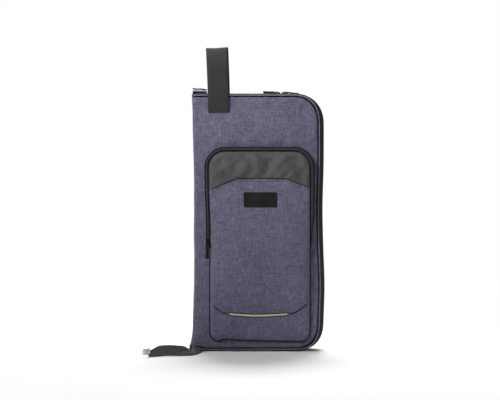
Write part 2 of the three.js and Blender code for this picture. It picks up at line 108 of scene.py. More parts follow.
def aim(thing, place_at, target):
    """Put a camera or a light in its place, facing a target."""
    thing.location = place_at
    thing.rotation_mode = "QUATERNION"
    thing.rotation_quaternion = (Vector(target) - Vector(place_at)).to_track_quat("-Z", "Y")


def add_camera():
    data = bpy.data.cameras.new("camera")
    data.sensor_width = 36
    data.lens = data.sensor_width * CAMERA_DISTANCE / VIEW_WIDTH
    camera = add_object("camera", data)
    back = Vector((0, -cos(CAMERA_ELEVATION), sin(CAMERA_ELEVATION)))
    aim(camera, CAMERA_TARGET + back * CAMERA_DISTANCE, CAMERA_TARGET)
    bpy.context.scene.camera = camera


# ---- Mesh helpers ----


def add_mesh(name, vertices, faces, material, smooth=True):
    """A new object from vertices and faces, with its faces pointing out."""
    mesh = bpy.data.meshes.new(name)
    mesh.from_pydata([tuple(v) for v in vertices], [], faces)
    work = bmesh.new()
    work.from_mesh(mesh)
    bmesh.ops.recalc_face_normals(work, faces=work.faces)
    work.to_mesh(mesh)
    work.free()
    mesh.polygons.foreach_set("use_smooth", [smooth] * len(mesh.polygons))
    mesh.materials.append(material)
    return add_object(name, mesh)


def place(piece, body, slot, *nodes):
    """The piece rides on a body and stands for some CAD nodes, which are hidden. Its slot is not used."""
    if body:
        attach(piece, body)
    if nodes:
        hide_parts(*nodes)
    return piece


def bevel(piece, width, segments=2, angle=40):
    modifier = piece.modifiers.new("bevel", "BEVEL")
    set_all(modifier, width=width, segments=segments, limit_method="ANGLE", angle_limit=radians(angle))
    modifier.harden_normals = True
    return piece


def sheet_block(outer, inner):
    """(vertices, faces) of a closed sheet between two grids of points of the same size."""
    points = np.array([outer, inner])
    index = np.arange(points[0].size // 3).reshape(points.shape[1:3])
    quads = np.stack([index[:-1, :-1], index[:-1, 1:], index[1:, 1:], index[1:, :-1]], axis=-1).reshape(-1, 4)
    rim = np.concatenate([index[0, :-1], index[:-1, -1], index[-1, :0:-1], index[:0:-1, 0]])
    after = np.roll(rim, -1)
    sides = np.stack([after, rim, rim + index.size, after + index.size], axis=-1)
    return points.reshape(-1, 3), np.concatenate([quads, quads[:, ::-1] + index.size, sides]).tolist()


def loft(rings):
    """(vertices, faces) of a closed block through rings of points, with its two ends capped."""
    points = np.array(rings)
    index = np.arange(points.size // 3).reshape(points.shape[:2])
    beside = np.roll(index, -1, axis=1)
    sides = np.stack([index[:-1], beside[:-1], beside[1:], index[1:]], axis=-1).reshape(-1, 4)
    return points.reshape(-1, 3), [*sides.tolist(), index[0, ::-1].tolist(), index[-1].tolist()]


def box_block(centre, along, across, up):
    """A box about its centre, with its three whole sides as vectors."""
    corners = [(-0.5, -0.5), (0.5, -0.5), (0.5, 0.5), (-0.5, 0.5)]
    return loft([[centre + along * i + across * j + up * k for i, j in corners] for k in (-0.5, 0.5)])


def slab(name, outer, inner, material, body, slot, *nodes):
    return place(add_mesh(name, *sheet_block(outer, inner), material), body, slot, *nodes)


def tube(name, rings, material, body, slot, *nodes):
    return place(add_mesh(name, *loft(rings), material), body, slot, *nodes)


def joined(name, blocks, material, smooth=True):
    """One object from several (vertices, faces) blocks."""
    vertices, faces = [], []
    for block_vertices, block_faces in blocks:
        start = len(vertices)
        vertices.extend(block_vertices)
        faces.extend([start + i for i in face] for face in block_faces)
    return add_mesh(name, vertices, faces, material, smooth)


def between(low, high, count):
    """Evenly spaced numbers from low to just before high."""
    return np.linspace(low, high, count, endpoint=False)


def grid(rows, columns, point):
    return np.array([[point(row, column) for column in columns] for row in rows])


def ring(centre, first, second, count):
    """Points round an oval, given by two vectors from its centre to its rim."""
    return [centre + first * cos(t) + second * sin(t) for t in between(0, 2 * pi, count)]


def disc(x, y, radius, count):
    return ring(Vector((x, y)), Vector((radius, 0)), Vector((0, radius)), count)


def arc(x, z, radius, first, last, count):
    """Points round part of a circle, between two angles counted in right angles."""
    return [(x + radius * cos(t), z + radius * sin(t)) for t in np.linspace(first, last, count) * pi / 2]


def heading_at(points, k):
    return points[min(k + 1, len(points) - 1)] - points[max(k - 1, 0)]


def rounded_section(width, thickness, steps=4):
    """Points round a flat strip's section with half-round edges, as (across, through)."""
    radius = thickness / 2
    reach = width / 2 - radius
    half = arc(reach, 0, radius, -1, 1, steps + 1)
    half += [(reach - 2 * reach * k / 6, radius) for k in range(1, 6)]
    return half + [(-a, -b) for a, b in half]


def smooth_route(points, steps):
    """(point, share of the way) along a Catmull-Rom curve through the points."""
    padded = [points[0] * 2 - points[1], *points, points[-1] * 2 - points[-2]]
    made = []
    for k in range(len(points) - 1):
        a, b, c, d = padded[k:k + 4]
        for t in between(0, 1, steps):
            bend = (a * 2 - b * 5 + c * 4 - d) * t * t + (b * 3 - a - c * 3 + d) * t * t * t
            made.append(((b * 2 + (c - a) * t + bend) / 2, k + t))
    made.append((points[-1].copy(), len(points) - 1.0))
    return made


# ---- Shaping functions. Their starts, middles, widths and sizes are in mm ----


def ease(value):
    """0 below 0, 1 above 1, smooth between."""
    value = min(max(value, 0.0), 1.0)
    return value * value * (3 - 2 * value)


def climb(value, start, width):
    """0 below start, 1 from a width further on, smooth between."""
    return ease((value - start * MM) / (width * MM))


def bell(value, middle, width):
    """1 at the middle, falling to 0 on both sides."""
    return exp(-(((value - middle * MM) / (width * MM)) ** 2))


def fading(distance, width):
    return exp(-distance / (width * MM))


def puff(distance, width, power=2.2):
    """Height, 0 to 1, of a padded surface at a distance from its seam."""
    share = 1 - min(max(distance / (width * MM), 0.0), 1.0)
    return (1 - share**power) ** (1 / power)


def ripple(x, y, z, size, seed=0):
    """Smooth noise, about -1 to 1, with waves of about a size."""
    size = size * MM
    return noise.noise(Vector((x / size + seed * 7.3, y / size - seed * 3.1, z / size + seed)))


# ---- The bag's outline ----

SEAM_INSET = 7.0 * MM  # sewn edge of a panel inside the outline, along the top and the base
SIDE_REVEAL = 5.6 * MM  # how much further in it is along the free side, where the gusset bulges most
GUSSET_TURN = 2.4 * MM  # inset at which the gusset turns from the edge onto the face
CORNER_ROWS = 20
FINE = [d * MM for d in (0, 0.5, 1.2, 2.2, 3.5, 5.2, 7.5, 10.5)]


def underside(x):
    return FOOT_RISE * max(0.0, FOOT_X - x) / (FOOT_X - LEFT)


def corner_turn(count, power):
    """(outward, upward, and both parts of the outward normal) round a corner of size 1, from its top."""
    turn = []
    for angle in np.linspace(0, pi / 2, count + 1):
        out, up = sin(angle) ** (2 / power), max(cos(angle), 0.0) ** (2 / power)
        turn.append((out, up, *Vector((out ** (power - 1), up ** (power - 1))).normalized()))
    return turn


def edge_path(start, spacing):
    """Points (x, z, outward x, outward z) round the outline, from x = start on the base to it on the top."""
    flat = max(2, round((ARC_X - start) / spacing))
    turns = max(6, round(CORNER * pi / 2 / spacing))
    side = max(2, round((ARC_TOP - CORNER) / spacing))
    path = [(x, underside(x), 0.0, -1.0) for x in between(start, ARC_X, flat)]
    path += [(ARC_X + CORNER * out, CORNER - CORNER * up, normal_x, -normal_z)
             for out, up, normal_x, normal_z in corner_turn(turns, LOW_SQUARENESS)[:-1]]
    path += [(RIGHT, z, 1.0, 0.0) for z in between(CORNER, ARC_TOP, side)]
    path += [(ARC_X + CORNER * out, ARC_TOP + CORNER * up, normal_x, normal_z)
             for out, up, normal_x, normal_z in corner_turn(turns, TOP_SQUARENESS)[:0:-1]]
    return path + [(x, TOP, 0.0, 1.0) for x in np.linspace(ARC_X, start, flat + 1)]


def wander(z, normal_x):
    """How far the soft free edge strays outwards: it swells low down and is drawn in above the middle."""
    swell = 1.8 * MM * bell(z, 118, 50)
    waist = 2.0 * MM * bell(z, 258, 60)
    return max(normal_x, 0.0) * (swell - waist + 0.3 * MM * ripple(0, 0, z, 75, 4))


def lean_out(z):
    """How far the spine edge strays towards -X: it flares at the base and is drawn in along the middle."""
    flare = 6.4 * MM * exp(-((max(z, 0.0) / (19 * MM)) ** 1.8))
    waist = 3.7 * MM * climb(z, 0, 150) * climb(TOP - z, -30, 230)
    return flare - waist + 0.5 * MM * ripple(0, 0, z, 50, 9)


def edge_point(station, inset, y):
    """A place on the outline's station. What lies on the face sits further in along the free side."""
    x, z, normal_x, normal_z = station
    grown = inset + SIDE_REVEAL * min(inset / GUSSET_TURN, 1.0) * max(normal_x, 0.0) ** 2.4
    reach = wander(z, normal_x) - grown
    return (x + normal_x * reach, y, z + normal_z * reach)


def sweep_edge(section, side, start):
    """A band round a half's outline. Its closed section lists (inset, depth below the outer face) in mm."""
    outer, inward = HALVES[side]
    return [[edge_point(station, inset * MM, outer + inward * depth * MM) for inset, depth in section]
            for station in edge_path(start, 3 * MM)]


def outline_distance(x, z, inset):
    """Distance from a point inside a half to its sewn edge, which is the outline less an inset."""
    side = inset + SIDE_REVEAL
    if x > ARC_X and (z > ARC_TOP or z < CORNER):
        rise, power = (z - ARC_TOP, TOP_SQUARENESS) if z > ARC_TOP else (CORNER - z, LOW_SQUARENESS)
        out = (x - ARC_X) / (CORNER - side)
        up = rise / (CORNER - inset)
        return (1 - (out**power + up**power) ** (1 / power)) * (CORNER - inset)
    return min(RIGHT - side - x, TOP - inset - z, z - inset - underside(x))


def spread(low, high, fine, coarse):
    """Places from low to high, close together near both ends: fine lists the first distances from an end."""
    left = [low + d for d in fine]
    right = [high - d for d in reversed(fine)]
    count = max(2, round((right[0] - left[-1]) / coarse))
    return [*left, *between(left[-1], right[0], count)[1:], *right]


def half_rows(inset, coarse):
    """(height, right end) of each row of a half's panel, from its bottom to its top."""
    radius, reach = CORNER - inset, CORNER - inset - SIDE_REVEAL
    low = [(CORNER - radius * up, ARC_X + reach * out)
           for out, up, _, _ in corner_turn(CORNER_ROWS, LOW_SQUARENESS)[:-1]]
    high = [(ARC_TOP + radius * up, ARC_X + reach * out)
            for out, up, _, _ in corner_turn(CORNER_ROWS, TOP_SQUARENESS)[-2::-1]]
    count = round((ARC_TOP - CORNER) / coarse)
    return [*low, *((z, ARC_X + reach) for z in np.linspace(CORNER, ARC_TOP, count + 1)), *high]


def resample(row, count):
    """The same line of points with a set number of points."""
    points = np.array(row)
    if len(points) == count:
        return points
    places = np.linspace(0, len(points) - 1, count)
    return np.stack([np.interp(places, range(len(points)), points[:, k]) for k in range(3)], axis=1)


def half_grid(inset, left, surface, coarse=4 * MM):
    """A grid of points over a half: surface(x, z) gives each point's y."""
    rows = []
    for height, end in half_rows(inset, coarse):
        row = []
        for x in spread(left, end, FINE, coarse):
            z = height + underside(x) * (1 - climb(height, 0, 70))
            across = (x - left) / (end - left)
            stray = wander(z, 1.0) * ease(across * 2 - 1) - lean_out(z) * ease(1 - across * 3)
            row.append((x + stray, surface(x, z), z))
        rows.append(row)
    longest = max(len(row) for row in rows)
    return np.array([resample(row, longest) for row in rows])


# ---- Materials ----


def feed(tree, socket, value):
    """Give a socket a plain value, or the output that feeds it."""
    if isinstance(value, bpy.types.NodeSocket):
        tree.links.new(value, socket)
    else:
        socket.default_value = value


def add_node(tree, kind, inputs=(), **settings):
    made = tree.nodes.new("ShaderNode" + kind)
    set_all(made, **settings)
    for key, value in dict(inputs).items():
        feed(tree, made.inputs[key], value)
    return made


class Shader:
    """A material being built, with short ways to add and join its nodes."""

    def __init__(self, name, **values):
        self.material = bpy.data.materials.new(name)
        self.material.use_nodes = True
        self.tree = self.material.node_tree
        self.main = self.tree.nodes["Principled BSDF"]
        for key, value in values.items():
            self.main.inputs[key.replace("_", " ")].default_value = value
        self.place = self.add("TexCoord").outputs["Object"]

    def add(self, kind, inputs=(), **settings):
        return add_node(self.tree, kind, inputs, **settings)

    def math(self, operation, *values):
        return self.add("Math", enumerate(values), operation=operation).outputs[0]

    def total(self, start, *terms):
        """The start plus each (output, weight) term."""
        for output, weight in terms:
            start = self.math("MULTIPLY_ADD", output, weight, start)
        return start

    def wave(self, place_on, length):
        return self.math("SINE", self.math("MULTIPLY", place_on, 2 * pi / length))

    def scaled(self, across, up):
        return self.add("Mapping", {"Vector": self.place, "Scale": (across, across, up)}).outputs[0]

    def noise(self, across, up, detail=3.0, roughness=0.55):
        """Noise with its own scale across and upwards, in waves per metre."""
        inputs = {"Vector": self.scaled(across, up), "Scale": 1.0, "Detail": detail, "Roughness": roughness}
        return self.add("TexNoise", inputs).outputs[0]

    def weave(self, across, up):
        """Over-and-under threads, 0 to 1, with their spacings across and up."""
        x, y, z = self.add("SeparateXYZ", {0: self.place}).outputs
        crossing = self.math("MULTIPLY", self.wave(self.math("ADD", x, y), across), self.wave(z, up))
        return self.total(0.5, (crossing, 0.5))

    def finish(self, tone, stops, rough, patches, height, depth, strength):
        """Colour from a tone by (place, colour) stops, a roughness range that goes by patches, and bump."""
        ramp = self.add("ValToRGB", {"Fac": tone})
        points = ramp.color_ramp.elements
        while len(points) < len(stops):
            points.new(0.5)
        for point, (where, color) in zip(points, stops):
            point.position = where
            point.color = (*color, 1.0)
        span = self.add("MapRange", {"Value": patches, "To Min": rough[0], "To Max": rough[1]})
        bump = self.add("Bump", {"Height": height, "Distance": depth, "Strength": strength})
        for key, node in (("Base Color", ramp), ("Roughness", span), ("Normal", bump)):
            self.tree.links.new(node.outputs[0], self.main.inputs[key])
        return self.material


def melange_material(name, dark, middle, light):
    """Woven melange: dark and light yarns in both directions, with slubs and slow shade changes."""
    made = Shader(name, Roughness=0.9, Sheen_Weight=0.08, Specular_IOR_Level=0.15)
    upright, level = made.noise(900, 75, 3.0, 0.6), made.noise(75, 900, 3.0, 0.6)
    fine, slow = made.noise(1700, 1700, 2.0, 0.6), made.noise(14, 8, 3.0, 0.5)
    yarn = made.total(-0.2, (upright, 0.56), (level, 0.44), (fine, 0.3), (slow, 0.1))
    height = made.total(0.0, (made.weave(1.1 * MM, 1.1 * MM), 0.6), (yarn, 0.8))
    stops = [(0.33, dark), (0.5, middle), (0.68, light)]
    return made.finish(yarn, stops, (0.82, 0.98), fine, height, 0.25 * MM, 0.8)


def cloth_material(name, dark, light, spacing, roughness, sheen=0.0, cloudy=0.3, specular=0.15):
    """Plain woven cloth or tape of one colour."""
    made = Shader(name, Roughness=roughness, Sheen_Weight=sheen, Specular_IOR_Level=specular)
    threads = made.weave(spacing, spacing * 0.8)
    cloud, speck = made.noise(35, 22, 4.0, 0.6), made.noise(900, 900, 2.0)
    tone = made.total(0.0, (threads, 0.3), (cloud, cloudy), (speck, 0.3))
    rough = (roughness - 0.08, min(1.0, roughness + 0.08))
    height = made.total(threads, (speck, 0.4))
    return made.finish(tone, [(0.2, dark), (0.75, light)], rough, cloud, height, 0.2 * MM, 0.8)


def webbing_material(name, dark, light, rib):
    """Ribbed webbing: fine ribs across the strip, crossed by finer threads along it."""
    made = Shader(name, Roughness=0.78, Sheen_Weight=0.1, Specular_IOR_Level=0.2)
    x, y, z = made.add("SeparateXYZ", {0: made.place}).outputs
    ribs = made.wave(made.total(z, (y, 0.8)), rib)
    relief = made.total(0.0, (ribs, 0.5), (made.wave(x, 0.8 * rib), 0.25))
    speck, wear = made.noise(800, 800), made.noise(40, 40, 4.0)
    tone = made.total(0.5, (relief, 0.25), (speck, 0.35), (wear, 0.3))
    height = made.total(relief, (speck, 0.4))
    return made.finish(tone, [(0.35, dark), (1.0, light)], (0.68, 0.88), wear, height, 0.2 * MM, 0.6)


def leather_material(name, dark, light):
    made = Shader(name, Roughness=0.5, Specular_IOR_Level=0.22)
    grain = made.add("TexVoronoi", {"Vector": made.scaled(900, 900), "Scale": 1.0}).outputs[0]
    cloud = made.noise(60, 60, 4.0)
    return made.finish(cloud, [(0.3, dark), (0.7, light)], (0.42, 0.62), cloud, grain, 0.15 * MM, 0.6)


def metal_material(name, dark, light, roughness):
    """Plated metal with fine brushing and dull patches."""
    made = Shader(name, Roughness=roughness, Metallic=1.0)
    brush, cloud = made.noise(2500, 120), made.noise(160, 160, 4.0)
    tone = made.total(0.0, (brush, 0.5), (cloud, 0.5))
    rough = (roughness - 0.06, roughness + 0.14)
    return made.finish(tone, [(0.3, dark), (0.7, light)], rough, cloud, brush, 0.03 * MM, 0.5)


def moulded_material(name, dark, light, roughness):
    made = Shader(name, Roughness=roughness)
    speck, cloud = made.noise(1200, 1200), made.noise(50, 50)
    tone = made.total(0.0, (speck, 0.5), (cloud, 0.5))
    rough = (roughness - 0.08, roughness + 0.1)
    return made.finish(tone, [(0.3, dark), (0.7, light)], rough, cloud, speck, 0.05 * MM, 0.6)


BLUE = melange_material("blue melange", (0.050, 0.048, 0.083), (0.112, 0.109, 0.163), (0.195, 0.192, 0.262))
PIPING = melange_material("piping melange", (0.07, 0.07, 0.10), (0.15, 0.148, 0.19), (0.25, 0.245, 0.30))
# Pale melange is a painted highlight, for the light caught by the top of the zip's end cover.
PALE_PAINTED_HIGHLIGHT = melange_material("pale melange painted highlight", (0.26, 0.26, 0.30), (0.42, 0.42, 0.47), (0.62, 0.62, 0.68))
COIL = cloth_material("zip coil", (0.012, 0.012, 0.014), (0.065, 0.066, 0.074), 0.9 * MM, 0.5)
# Dark navy cords stand partly for real navy seams and flanges, and partly paint the shade in the grooves and
# gaps where they lie.
NAVY_AND_PAINTED_SHADE = cloth_material("navy tape and painted shade", (0.008, 0.007, 0.016), (0.022, 0.02, 0.04), 0.6 * MM, 0.85, specular=0.05)
NYLON = cloth_material("grey nylon", (0.040, 0.038, 0.039), (0.100, 0.096, 0.097), 0.9 * MM, 0.55, 0.05, 0.5)
BLACK = cloth_material("black tape", (0.008, 0.008, 0.009), (0.036, 0.036, 0.04), 0.8 * MM, 0.85,
                       specular=0.02)
GUSSET = cloth_material("gusset", (0.016, 0.016, 0.017), (0.07, 0.069, 0.074), 0.8 * MM, 0.85, specular=0.02)
LINING = cloth_material("lining", (0.018, 0.018, 0.022), (0.060, 0.061, 0.070), 0.7 * MM, 0.7, 0.1)
WEBBING = webbing_material("webbing", (0.008, 0.008, 0.009), (0.036, 0.036, 0.037), 1.2 * MM)
# The strap's webbing is a lighter copy of the handle's webbing: its extra lightness is painted light.
LIGHTER_STRAP_WEBBING = webbing_material("strap webbing painted lighter", (0.016, 0.016, 0.017), (0.095, 0.095, 0.097), 1.2 * MM)
TAN = cloth_material("tan trim", (0.46, 0.38, 0.26), (0.88, 0.76, 0.60), 0.7 * MM, 0.6, 0.1)
# Brown cords paint the shadow lines above and below the tan piping.
BROWN_PAINTED_SHADOW = cloth_material("brown painted shadow", (0.020, 0.012, 0.016), (0.060, 0.038, 0.042), 0.5 * MM, 0.8)
THREAD = cloth_material("navy thread", (0.006, 0.006, 0.012), (0.022, 0.022, 0.038), 0.4 * MM, 0.7)
BLACK_THREAD = cloth_material("black thread", (0.010, 0.010, 0.011), (0.045, 0.045, 0.047), 0.4 * MM, 0.6)
LABEL = leather_material("label leatherette", (0.003, 0.003, 0.0035), (0.010, 0.010, 0.011))
STEEL = metal_material("nickel steel", (0.42, 0.42, 0.43), (0.72, 0.72, 0.73), 0.26)
BLACK_METAL = metal_material("black metal", (0.010, 0.010, 0.011), (0.040, 0.040, 0.042), 0.38)
TEETH = moulded_material("zip teeth", (0.006, 0.006, 0.007), (0.022, 0.022, 0.025), 0.42)
FOAM = moulded_material("foam", (0.16, 0.16, 0.17), (0.34, 0.34, 0.35), 0.9)
BOARD = moulded_material("board", (0.02, 0.02, 0.02), (0.05, 0.05, 0.05), 0.6)


# ---- Cloth simulation ----


def refined(heights):
    """The same heights on a grid twice as fine, without its corners."""
    for _ in range(2):  # along each axis in turn
        finer = np.repeat(heights, 2, axis=0)[:-1]
        finer[1::2] = (heights[1:] + heights[:-1]) / 2
        softened = finer.copy()
        softened[1:-1] = (finer[:-2] + 2 * finer[1:-1] + finer[2:]) / 4
        heights = softened.T
    return heights


def relief_from(low, high, heights):
    """A function that gives the height at any place (x, z), from a grid of heights between low and high."""
    last_row, last_column = heights.shape[0] - 1, heights.shape[1] - 1

    def relief(x, z):
        u = min(max((x - low[0]) / (high[0] - low[0]), 0.0), 1.0) * last_column
        v = min(max((z - low[1]) / (high[1] - low[1]), 0.0), 1.0) * last_row
        column, row = min(int(u), last_column - 1), min(int(v), last_row - 1)
        u, v = u - column, v - row
        below, above = heights[row:row + 2, column] * (1 - u) + heights[row:row + 2, column + 1] * u
        return float(below * (1 - v) + above * v)

    return relief


def settle_cloth(low, high, held, slack, pressure, spacing, cap, seed, bending=0.3):
    """The relief of a cloth from low to high, both (x, z). It is pinned where held(x, z) is true, and cut too
    large by its slack. Pressure from inside makes it swell and wrinkle."""
    columns = round((high[0] - low[0]) / spacing) + 1
    rows = round((high[1] - low[1]) / spacing) + 1
    across = np.linspace(low[0], high[0], columns)
    places = [(x, z) for z in np.linspace(low[1], high[1], rows) for x in across]
    faces = [(a, a + 1, a + columns + 1, a + columns)
             for r in range(rows - 1) for a in range(r * columns, r * columns + columns - 1)]
    mesh = bpy.data.meshes.new("cut_cloth")
    mesh.from_pydata([(x, 0.5 * MM * ripple(x, 0, z, 20, seed), z) for x, z in places], [], faces)
    cloth = add_object("cut_cloth", mesh)
    pinned = [k for k, (x, z) in enumerate(places) if held(x, z)]
    cloth.vertex_groups.new(name="held").add(pinned, 1.0, "REPLACE")
    modifier = cloth.modifiers.new("cloth", "CLOTH")
    set_all(modifier.settings, quality=6, mass=0.2, tension_stiffness=15, compression_stiffness=15,
            shear_stiffness=5, bending_stiffness=bending, air_damping=5, vertex_group_mass="held",
            shrink_min=-slack, use_pressure=True, uniform_pressure_force=pressure)
    modifier.settings.effector_weights.gravity = 0
    modifier.collision_settings.use_collision = False
    scene = bpy.context.scene
    for step in range(1, 21):
        scene.frame_set(step)
    settled = cloth.evaluated_get(bpy.context.evaluated_depsgraph_get()).to_mesh()
    moved = np.empty(3 * len(settled.vertices))
    settled.vertices.foreach_get("co", moved)
    scene.frame_set(1)
    bpy.data.objects.remove(cloth)
    heights = np.clip(-moved[1::3].reshape(rows, columns), -cap, cap)
    return relief_from(low, high, refined(refined(heights)))


# ---- Hanging strap: the one free strap, and its hook ----

STRAP_WIDTH = 20 * MM
STRAP_THICKNESS = 1.8 * MM
STRAP_ROUTE = [Vector(point) * MM for point in (
    (-112, -16.5, 2.4), (-112.5, -26, 1.6), (-115, -38, 2.2), (-121, -51, 5.5),
    (-134, -63, 8.6), (-152, -73, 9.3), (-172.5, -80, 9.3), (-193.5, -84.5, 9.3))]
STRAP_LEAN = [0.3, 0.1, 0.1, 0.3, 0.62, 0.78, 0.84, 0.76]  # how far it stands up, in right angles
STRAP_REACH = 2.5 * MM  # the cloth and its hook end a little beyond the last point
CLEAR = 0.3 * MM  # gap kept from the floor, and from the bag's underside


def add_hanging_strap():
    route = smooth_route(STRAP_ROUTE, 6)
    points = [point for point, _ in route]
    rings = []
    for k, (point, share) in enumerate(route):
        ahead = heading_at(points, k).normalized()
        side = ahead.cross(UP).normalized()
        lean = float(np.interp(share, range(len(STRAP_LEAN)), STRAP_LEAN)) * pi / 2
        across = side * cos(lean) + UP * sin(lean)
        across = (across - ahead * across.dot(ahead)).normalized()
        through = ahead.cross(across).normalized()
        taper = 1 - 0.42 * ease((share - 6.1) / 0.9)
        bulge, lift = exp(-(((share - 3.3) / 1.1) ** 2)), exp(-((share - 5.6) ** 2))
        centre = point - across * (STRAP_WIDTH / 2 * (1 - taper)) + Vector((0, -7 * bulge, 1.6 * lift)) * MM
        centre += ahead * (STRAP_REACH * ease(share - 6))
        reach = STRAP_WIDTH / 2 * taper * abs(across.z) + STRAP_THICKNESS / 2 * abs(through.z)
        centre.z = max(centre.z, reach + CLEAR)
        fold = 1.5 * MM * sin(pi * min(max((share - 1.5) / 5, 0), 1))
        crease = 0.5 * MM * ripple(point.x, 0, 0, 9, 91)
        section = []
        for a, b in rounded_section(STRAP_WIDTH, STRAP_THICKNESS):
            bend = fold * cos(3 * pi * a / STRAP_WIDTH) + crease * (1 + a / STRAP_WIDTH)
            corner = centre + across * (a * taper) + through * (b + bend)
            corner.z = max(corner.z, CLEAR)
            section.append(corner)
        rings.append(section)
    # its webbing is painted lighter than the handle's, to stand in for light
    return tube("hanging_strap", rings, LIGHTER_STRAP_WEBBING, "front_half", "webbing", "hanging_strap_flat",
                "hanging_strap_edge")


def add_strap_hook():
    """A stamped J hook whose shank clasps the strap's end."""
    ahead = (STRAP_ROUTE[-1] - STRAP_ROUTE[-2]).normalized()
    side = UP.cross(ahead).normalized()
    end = STRAP_ROUTE[-1] + ahead * STRAP_REACH
    bend = 4 * MM
    line = [(forward * MM, 0.0) for forward in (-3.5, 0.5, 3, 6)] + arc(6.5 * MM, bend, bend, -1, 1, 13)[1:]
    line += [(4.5 * MM, 2 * bend), (2.2 * MM, 2 * bend + 0.6 * MM)]
    line = [end + ahead * forward + side * sideways for forward, sideways in line]
    section = rounded_section(12 * MM, 1.5 * MM, 3)
    rings = []
    for k, centre in enumerate(line):
        through = UP.cross(heading_at(line, k).normalized())
        narrow = 1 - 0.25 * ease((k - 3) / 12)
        rings.append([centre + UP * (a * narrow) + through * b for a, b in section])
    hook = tube("strap_hook_steel", rings, STEEL, "front_half", "hook_steel", "strap_hook")
    block = box_block(end - ahead * 1.5 * MM, ahead * 4 * MM, side * 4.6 * MM, UP * 15.5 * MM)
    clasp = bevel(joined("strap_clasp", [block], STEEL, False), 0.9 * MM, 3)
    return [hook, place(clasp, "front_half", "hook_steel")]


def add_strap_base():
    """The strap's sewn end, on the slanted underside of the raised corner."""
    low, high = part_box("strap_base")
    places = np.linspace(low.x, high.x, 9), (low.y, low.y / 2, high.y)
    outer = grid(*places, lambda x, y: (x, y, underside(x) - CLEAR))
    inner = grid(*places, lambda x, y: (x, y, max(underside(x) - CLEAR - 1.9 * MM, CLEAR)))
    return slab("strap_base_webbing", outer, inner, WEBBING, "front_half", "webbing", "strap_base")


def add_strap():
    strap = add_hanging_strap()
    fittings = [*add_strap_hook(), add_strap_base()]
    tuple(STRAP_ROUTE[0])
    [tuple(p) for p, _ in smooth_route(STRAP_ROUTE, 3)]


# ---- Halves ----

SPINE_ROUND = 4.5 * MM  # rounding where a panel turns into the spine
GUSSET_START = LEFT + 6.3 * MM
PIPING_START = GUSSET_START - 5 * MM
HANDLE_LOW, HANDLE_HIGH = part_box("handle_front_leg")

# Sections in mm: (inset, depth below the outer face)
# The navy flange lies in the groove between the panel and the piping: partly the real seam flange, partly
# painted shade for the groove.
FLANGE_SECTION = [(4.4, 1.3), (5.6, 1.9), (7.4, 2.3), (9.4, 3.2), (9.4, 3.8), (7.2, 3.4), (4.4, 2.6)]
GUSSET_SECTION = [(5.0, 2.1), (3.2, 1.7), (2.3, 2.2), (1.1, 4.8), (0.55, 8.0), (0.3, 11.5), (0.3, 14.2),
                  (0.7, 16.0), (1.8, 16.1), (1.5, 14.0), (1.5, 11.5), (1.8, 8.6), (2.4, 6.0), (3.2, 4.4),
                  (4.2, 3.5), (5.0, 3.3)]
TAPE_SECTION = [(1.1, 15.2), (1.0, 17.0), (1.1, 19.4), (1.6, 19.5), (2.1, 19.4), (2.1, 17.0), (2.1, 15.2)]
TOOTH_PROFILE = [(-1.9, 0.55), (0.6, 0.5), (0.9, 0.75), (1.9, 0.7), (2.3, 0.3)]  # (reach, half width) in mm
BINDING_SECTION = [(-1.2, -4), (-1.3, 0), (-0.8, 0.9), (0, 1.2), (0.8, 0.9), (1.3, 0), (1.2, -4), (0, -3.6)]


def held_back(x, z):
    """Where an outer panel is sewn or covered: its edges and the handle's patch."""
    sewn = outline_distance(x, z, SEAM_INSET) < 3 * MM or x < LEFT + 3 * MM
    return sewn or HANDLE_LOW.x - 2 * MM < x < HANDLE_HIGH.x + 2 * MM and z > HANDLE_LOW.z - 2 * MM


def held_front(x, z):
    """The same, and the pocket's outline."""
    pocket = POCKET_LEFT - 1 * MM < x < POCKET_RIGHT + 1 * MM and BASE_LOW.z - 1 * MM < z < POCKET_TOP
    return pocket or held_back(x, z)


def pocket_pull(x, z):
    """How the front panel is drawn in along the pocket's seams, with small upright folds beside them."""
    beside = min(abs(x - BASE_LOW.x), abs(x - BASE_HIGH.x))
    height = climb(z, 10, 30) * climb(250 * MM - z, 0, 50)
    folds = 0.75 * MM * ripple(x, 0, z * 0.16, 5.5, 71) + 0.5 * MM * ripple(x, 0, z * 0.5, 11, 72)
    below = fading(abs(z - BASE_LOW.z), 5) * climb(x - BASE_LOW.x, -10, 20)
    crease_x = BASE_LOW.x - 5.5 * MM + 1.5 * MM * ripple(0, 0, z, 30, 73)
    crease = 1.3 * MM * height * (0.7 + ripple(0, 0, z, 14, 74)) * bell(x - crease_x, 0, 1.5)
    return (folds - 1.0 * MM) * height * fading(beside, 9) - 0.8 * MM * below - crease


def panel_surface(side, crown, seed):
    """y of an outer panel: rolled in at its seams and the spine, crowned by padding and settled as cloth."""
    outer, inward = HALVES[side]
    held = held_front if side == "front" else held_back
    relief = settle_cloth((LEFT, 0.0), (RIGHT, TOP), held, 0.022, 1.2, 5.5 * MM, 3.5 * MM, seed)

    def surface(x, z):
        edge, corner = outline_distance(x, z, SEAM_INSET), x - LEFT
        sunk = 3.0 * MM * (1 - puff(edge, 5, 2.6))
        turned = SPINE_ROUND * (1 - sqrt(max(0.0, 1 - (1 - min(corner / SPINE_ROUND, 1)) ** 2)))
        body = crown * climb(edge, 0, 60) * climb(corner, 0, 40)
        pucker = 0.5 * MM * fading(edge, 11) * ripple(x, 0, z, 9, seed)
        crease = 0.9 * MM * ripple(x * 1.8, 0, z * 0.35, 26, seed + 2) * fading(max(corner, 0), 30)
        if side == "front":
            crease += pocket_pull(x, z)
        slack = 0.8 * MM * ripple(x, 0, z, 85, seed + 3)
        cloth = 0.8 * max(relief(x, z), -0.8 * MM)
        amount = climb(corner, 0, 8) * ease(edge / (3 * MM) + 0.3)
        return outer + inward * (sunk + turned - body - (cloth + pucker + crease + slack) * amount)

    return surface


